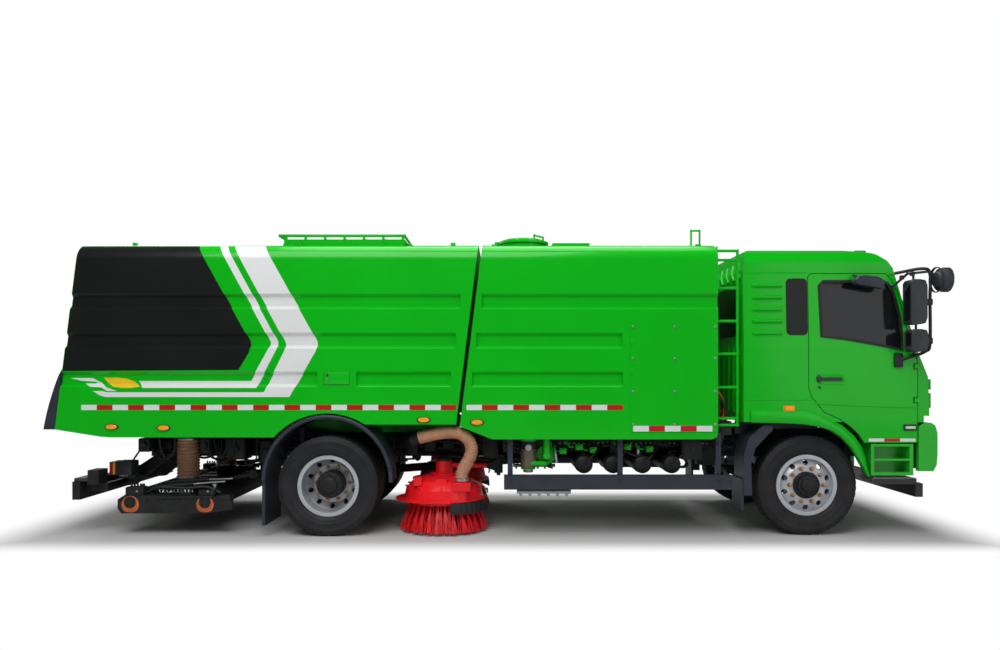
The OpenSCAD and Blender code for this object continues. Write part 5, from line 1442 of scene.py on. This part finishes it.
def water_filter():
    """Smoked bowl, cap, gauge and clips of the water filter."""
    spot = (FILTER_X, FILTER_Y, 0)
    bm = bmesh.new()
    add_lathe(bm, [(0.020, 0.635), (0.062, 0.645), (0.078, 0.660), (0.080, 0.840), (0.070, 0.850)],
              spot, UP, 36)
    finish_mesh("filter_bowl", bm, "smoke", "chassis")
    bm = bmesh.new()
    add_lathe(bm, [(0.070, 0.845), (0.090, 0.850), (0.092, 0.915), (0.060, 0.930)], spot, UP, 36)
    add_tube(bm, [(0.44, -1.08, 0.90), (0.52, -1.10, 0.86), (0.53, -1.10, 0.70),
                  (0.58, -1.06, 0.66)], 0.014, 10)
    finish_mesh("filter_cap", bm, "frame", "chassis")
    bm = bmesh.new()
    add_disc(bm, (FILTER_X, FILTER_Y - 0.072, 0.86), (0, -1, 0), 0.034, 0.020)
    add_disc(bm, (FILTER_X, FILTER_Y, 0.640), DOWN, 0.050, 0.030)
    for z in (0.66, 0.92):
        add_lathe(bm, [(0.071, z), (0.076, z + 0.003), (0.076, z + 0.018), (0.071, z + 0.021)],
                  spot, UP, 32)
    for x in (0.62, 1.45):
        add_tube(bm, [(x, -0.90, 0.88), (x, -1.0, 0.84), (x + 0.02, -1.0, 0.70)], 0.020, 12)
    finish_mesh("filter_fittings", bm, "steel", "chassis")


def guard_trim(tag, s):
    """Edge strips and bolts of the side guard, and the wash bar under it."""
    bm = bmesh.new()
    for z0 in (0.585, 0.460):
        add_box(bm, (0.114, s * 1.2245, z0), (2.335, s * 1.2275, z0 + 0.015), 0.001)
    for x in (0.175, 1.25, 2.21):
        for y, z in ((1.225, 0.545), (1.200, 0.90)):
            add_hex(bm, (x, s * y, z), (0, s, 0), 0.014, 0.012)
    finish_mesh(f"guard_trim_{tag}", bm, "slate", "chassis")
    bm = bmesh.new()
    add_tube(bm, [(0.24, s * 1.15, 0.432), (0.77, s * 1.15, 0.432)], 0.022, 14, steps=1)
    for k in range(6):
        add_disc(bm, (0.28 + k * 0.09, s * 1.15, 0.415), DOWN, 0.014, 0.026, 12)
    for x in (0.30, 0.70):
        add_box(bm, (x - 0.012, s * 1.142, 0.43), (x + 0.012, s * 1.158, 0.465), 0.002)
    finish_mesh(f"wash_bar_{tag}", bm, "steel", "chassis")


def rear_fender_trim(tag, s):
    """Rolled lip and bolts of the rear fender, and ribs on its mud flap."""
    arc = WHEEL_R + 0.110
    lip, skin = arc + 0.017, arc + 0.033
    bm = bmesh.new()
    path = []
    for k in range(30):
        a = math.radians(12 + 168 * k / 29)
        path.append((REAR_X + lip * math.cos(a), s * (HALF - 0.012), FENDER_Z + lip * math.sin(a)))
    add_tube(bm, path, 0.022, 12, steps=2)
    for k in range(5):
        a = math.radians(30 + 30 * k)
        add_hex(bm, (REAR_X + skin * math.cos(a), s, FENDER_Z + skin * math.sin(a)),
                (math.cos(a), 0, math.sin(a)), 0.013, 0.010)
    finish_mesh(f"fender_lip_{tag}", bm, "slate", "chassis")
    bm = bmesh.new()
    back = REAR_X - arc
    for k in range(6):
        z = 0.16 + k * 0.055
        add_box(bm, (back - 0.036, s * 0.68, z), (back - 0.032, s * 1.20, z + 0.012), 0.001)
    finish_mesh(f"flap_ribs_{tag}", bm, "seal", "chassis")


def guard_details():
    """Guards and fenders on both sides, ladder feet and cables of the control box."""
    for tag, s in SIDES.items():
        guard_trim(tag, s)
        rear_fender_trim(tag, s)
    bm = bmesh.new()
    for z in (1.085, 2.790):
        add_box(bm, (2.186, -1.21, z - 0.04), (2.198, -1.14, z + 0.04), 0.004)
    for z in (1.151, 1.455, 1.781, 2.102, 2.424, 2.70):
        add_disc(bm, (2.188, -1.175, z), AHEAD, 0.026, 0.008)
    finish_mesh("ladder_feet", bm, "green", "chassis")
    bm = bmesh.new()
    for y in (-0.95, -0.92, -0.99):
        add_tube(bm, [(1.92, y, 0.743), (1.95, y - 0.01, 0.69), (1.90, y, 0.65),
                      (1.70, y + 0.1, 0.68)], 0.010, 8)
    for x in (1.80, 2.04):
        add_hex(bm, (x, -1.13, 0.755), (0, -1, 0), 0.009, 0.008)
    add_box(bm, (1.96, -1.146, 0.82), (1.99, -1.139, 0.87), 0.003)
    finish_mesh("control_box_cables", bm, "seal", "chassis")


def fender_ends():
    """Front ends of the rear fenders, and the liners above the front wheels."""
    for tag, s in SIDES.items():
        bm = bmesh.new()
        rings = []
        for i in range(9):
            a = math.radians(12.5 - 14.5 * i / 8)
            rings.append([bm.verts.new((REAR_X + r * math.cos(a), s * y,
                                        FENDER_Z + r * math.sin(a)))
                          for r, y in ((0.600, 0.90), (0.634, 0.90), (0.634, 1.24),
                                       (0.600, 1.24))])
        add_skin(bm, rings, ends=True)
        face_outward(bm)
        add_box(bm, (2.46, s * 0.86, 0.98), (2.78, s * 0.88, 1.112), 0.003)
        add_box(bm, (2.77, s * 0.86, 1.03), (3.30, s * 0.88, 1.112), 0.003)
        finish_mesh(f"fender_ends_{tag}", bm, "slate", "chassis")


def grille_ends():
    """Outer ends of the grille with dark fins behind them."""
    bm = bmesh.new()
    for s in (-1, 1):
        for z0, z1 in ((1.252, 1.398), (1.432, 1.534)):
            add_box(bm, (4.262, s * 1.02, z0), (4.300, s * 1.165, z1), 0.008)
        for k in range(5):
            z = 1.272 + 0.058 * k
            add_box(bm, (4.226, s * 1.10, z), (4.264, s * 1.17, z + 0.026), 0.003, slot=1)
    finish_mesh("grille_ends", bm, ["green", "seal"], "cab")


# Stage

def shadow_painted_floor():
    """Floor painted grey under the truck as painted shadow over the real one, fading to white around
    it.
    """
    bm = bmesh.new()
    bmesh.ops.create_grid(bm, x_segments=1, y_segments=1, size=60)
    floor = finish_mesh("floor", bm, "white", None, smooth=False)
    shadow_floor_paint = bpy.data.materials.new("shadow_painted_floor")
    shadow_floor_paint.use_nodes = True
    tree = shadow_floor_paint.node_tree
    shader = tree.nodes["Principled BSDF"]
    # The grey base is painted shadow: the floor is darker only over the truck's footprint.
    fill_node(tree, shader, {"Base Color": (0.56, 0.56, 0.56, 1), "Roughness": 0.9,
                             "Specular IOR Level": 0.1})
    place = add_node(tree, "TexCoord").outputs["Object"]
    split = add_node(tree, "SeparateXYZ", {"Vector": place})
    fades = []
    for axis, near, far in (("X", 4.3, 5.1), ("Y", 1.35, 2.0)):
        size = add_node(tree, "Math", {0: split.outputs[axis]}, operation="ABSOLUTE")
        fade = add_node(tree, "MapRange", {"From Min": near, "From Max": far,
                                           "Value": size.outputs["Value"]},
                        interpolation_type="SMOOTHSTEP")
        fades.append(fade.outputs["Result"])
    widest = add_node(tree, "Math", dict(enumerate(fades)), operation="MAXIMUM")
    seen = add_node(tree, "LightPath")
    both = add_node(tree, "Math", {0: widest.outputs["Value"], 1: seen.outputs["Is Camera Ray"]},
                    operation="MULTIPLY")
    pale = add_node(tree, "Emission", {"Color": (1, 1, 1, 1)})
    mix = add_node(tree, "MixShader", {"Fac": both.outputs["Value"], 1: shader.outputs["BSDF"],
                                       2: pale.outputs["Emission"]})
    fill_node(tree, tree.nodes["Material Output"], {"Surface": mix.outputs["Shader"]})
    floor.data.materials.clear()
    floor.data.materials.append(shadow_floor_paint)


def studio_world():
    """White behind the truck, dimmer where the world only lights or reflects."""
    world = bpy.data.worlds.new("studio")
    bpy.context.scene.world = world
    world.use_nodes = True
    tree = world.node_tree
    back = tree.nodes["Background"]
    fill_node(tree, back, {"Color": (1, 1, 1, 1), "Strength": 0.20})
    dim = add_node(tree, "Background", {"Strength": 0.10})
    bright = add_node(tree, "Background", {"Color": (1, 1, 1, 1), "Strength": 1.0})
    path = add_node(tree, "LightPath")
    gloss = add_node(tree, "MixShader", {"Fac": path.outputs["Is Glossy Ray"],
                                         1: back.outputs["Background"],
                                         2: dim.outputs["Background"]})
    mix = add_node(tree, "MixShader", {"Fac": path.outputs["Is Camera Ray"],
                                       1: gloss.outputs["Shader"],
                                       2: bright.outputs["Background"]})
    fill_node(tree, tree.nodes["World Output"], {"Surface": mix.outputs["Shader"]})


def lights():
    """Four soft lamps."""
    for name, place, size, power, aim in (
            ("key", (-2.0, -7.5, 9.0), 7.0, 720, (0, 0, 1)),
            ("fill", (8.0, -9.0, 3.5), 6.0, 130, (0, 0, 1)),
            ("top", (0.0, 1.0, 10.0), 8.0, 700, (0, 0, 0)),
            ("rim", (-8.0, 6.0, 6.0), 6.0, 220, (0, 0, 1))):
        data = bpy.data.lights.new(name, "AREA")
        data.size = size
        data.energy = power
        lamp = bpy.data.objects.new(name, data)
        bpy.context.scene.collection.objects.link(lamp)
        lamp.location = place
        lamp.rotation_euler = (Vector(aim) - Vector(place)).to_track_quat("-Z", "Y").to_euler()


def side_camera():
    """Camera square to the right side, and the plain view transform."""
    data = bpy.data.cameras.new("camera")
    data.sensor_width = 36
    data.lens = 29.7
    data.shift_y = 0.0485
    camera = bpy.data.objects.new("camera", data)
    bpy.context.scene.collection.objects.link(camera)
    camera.location = (0.075, -9.25, 1.59)
    camera.rotation_euler = (math.pi / 2, 0, 0)
    bpy.context.scene.camera = camera
    bpy.context.scene.view_settings.view_transform = "Standard"


shadow_painted_floor()
studio_world()
lights()
side_camera()
dress_nodes()
graphics()
body_side_details()
roof_details()
rear_details()
wheels()
brushes()
nozzle_details()
cab_sides()
mirror_details()
cab_front()
cab_back()
seat_trim()
rail_details()
air_tank_details()
service_lines()
side_bay()
water_filter()
guard_details()
fender_ends()
grille_ends()
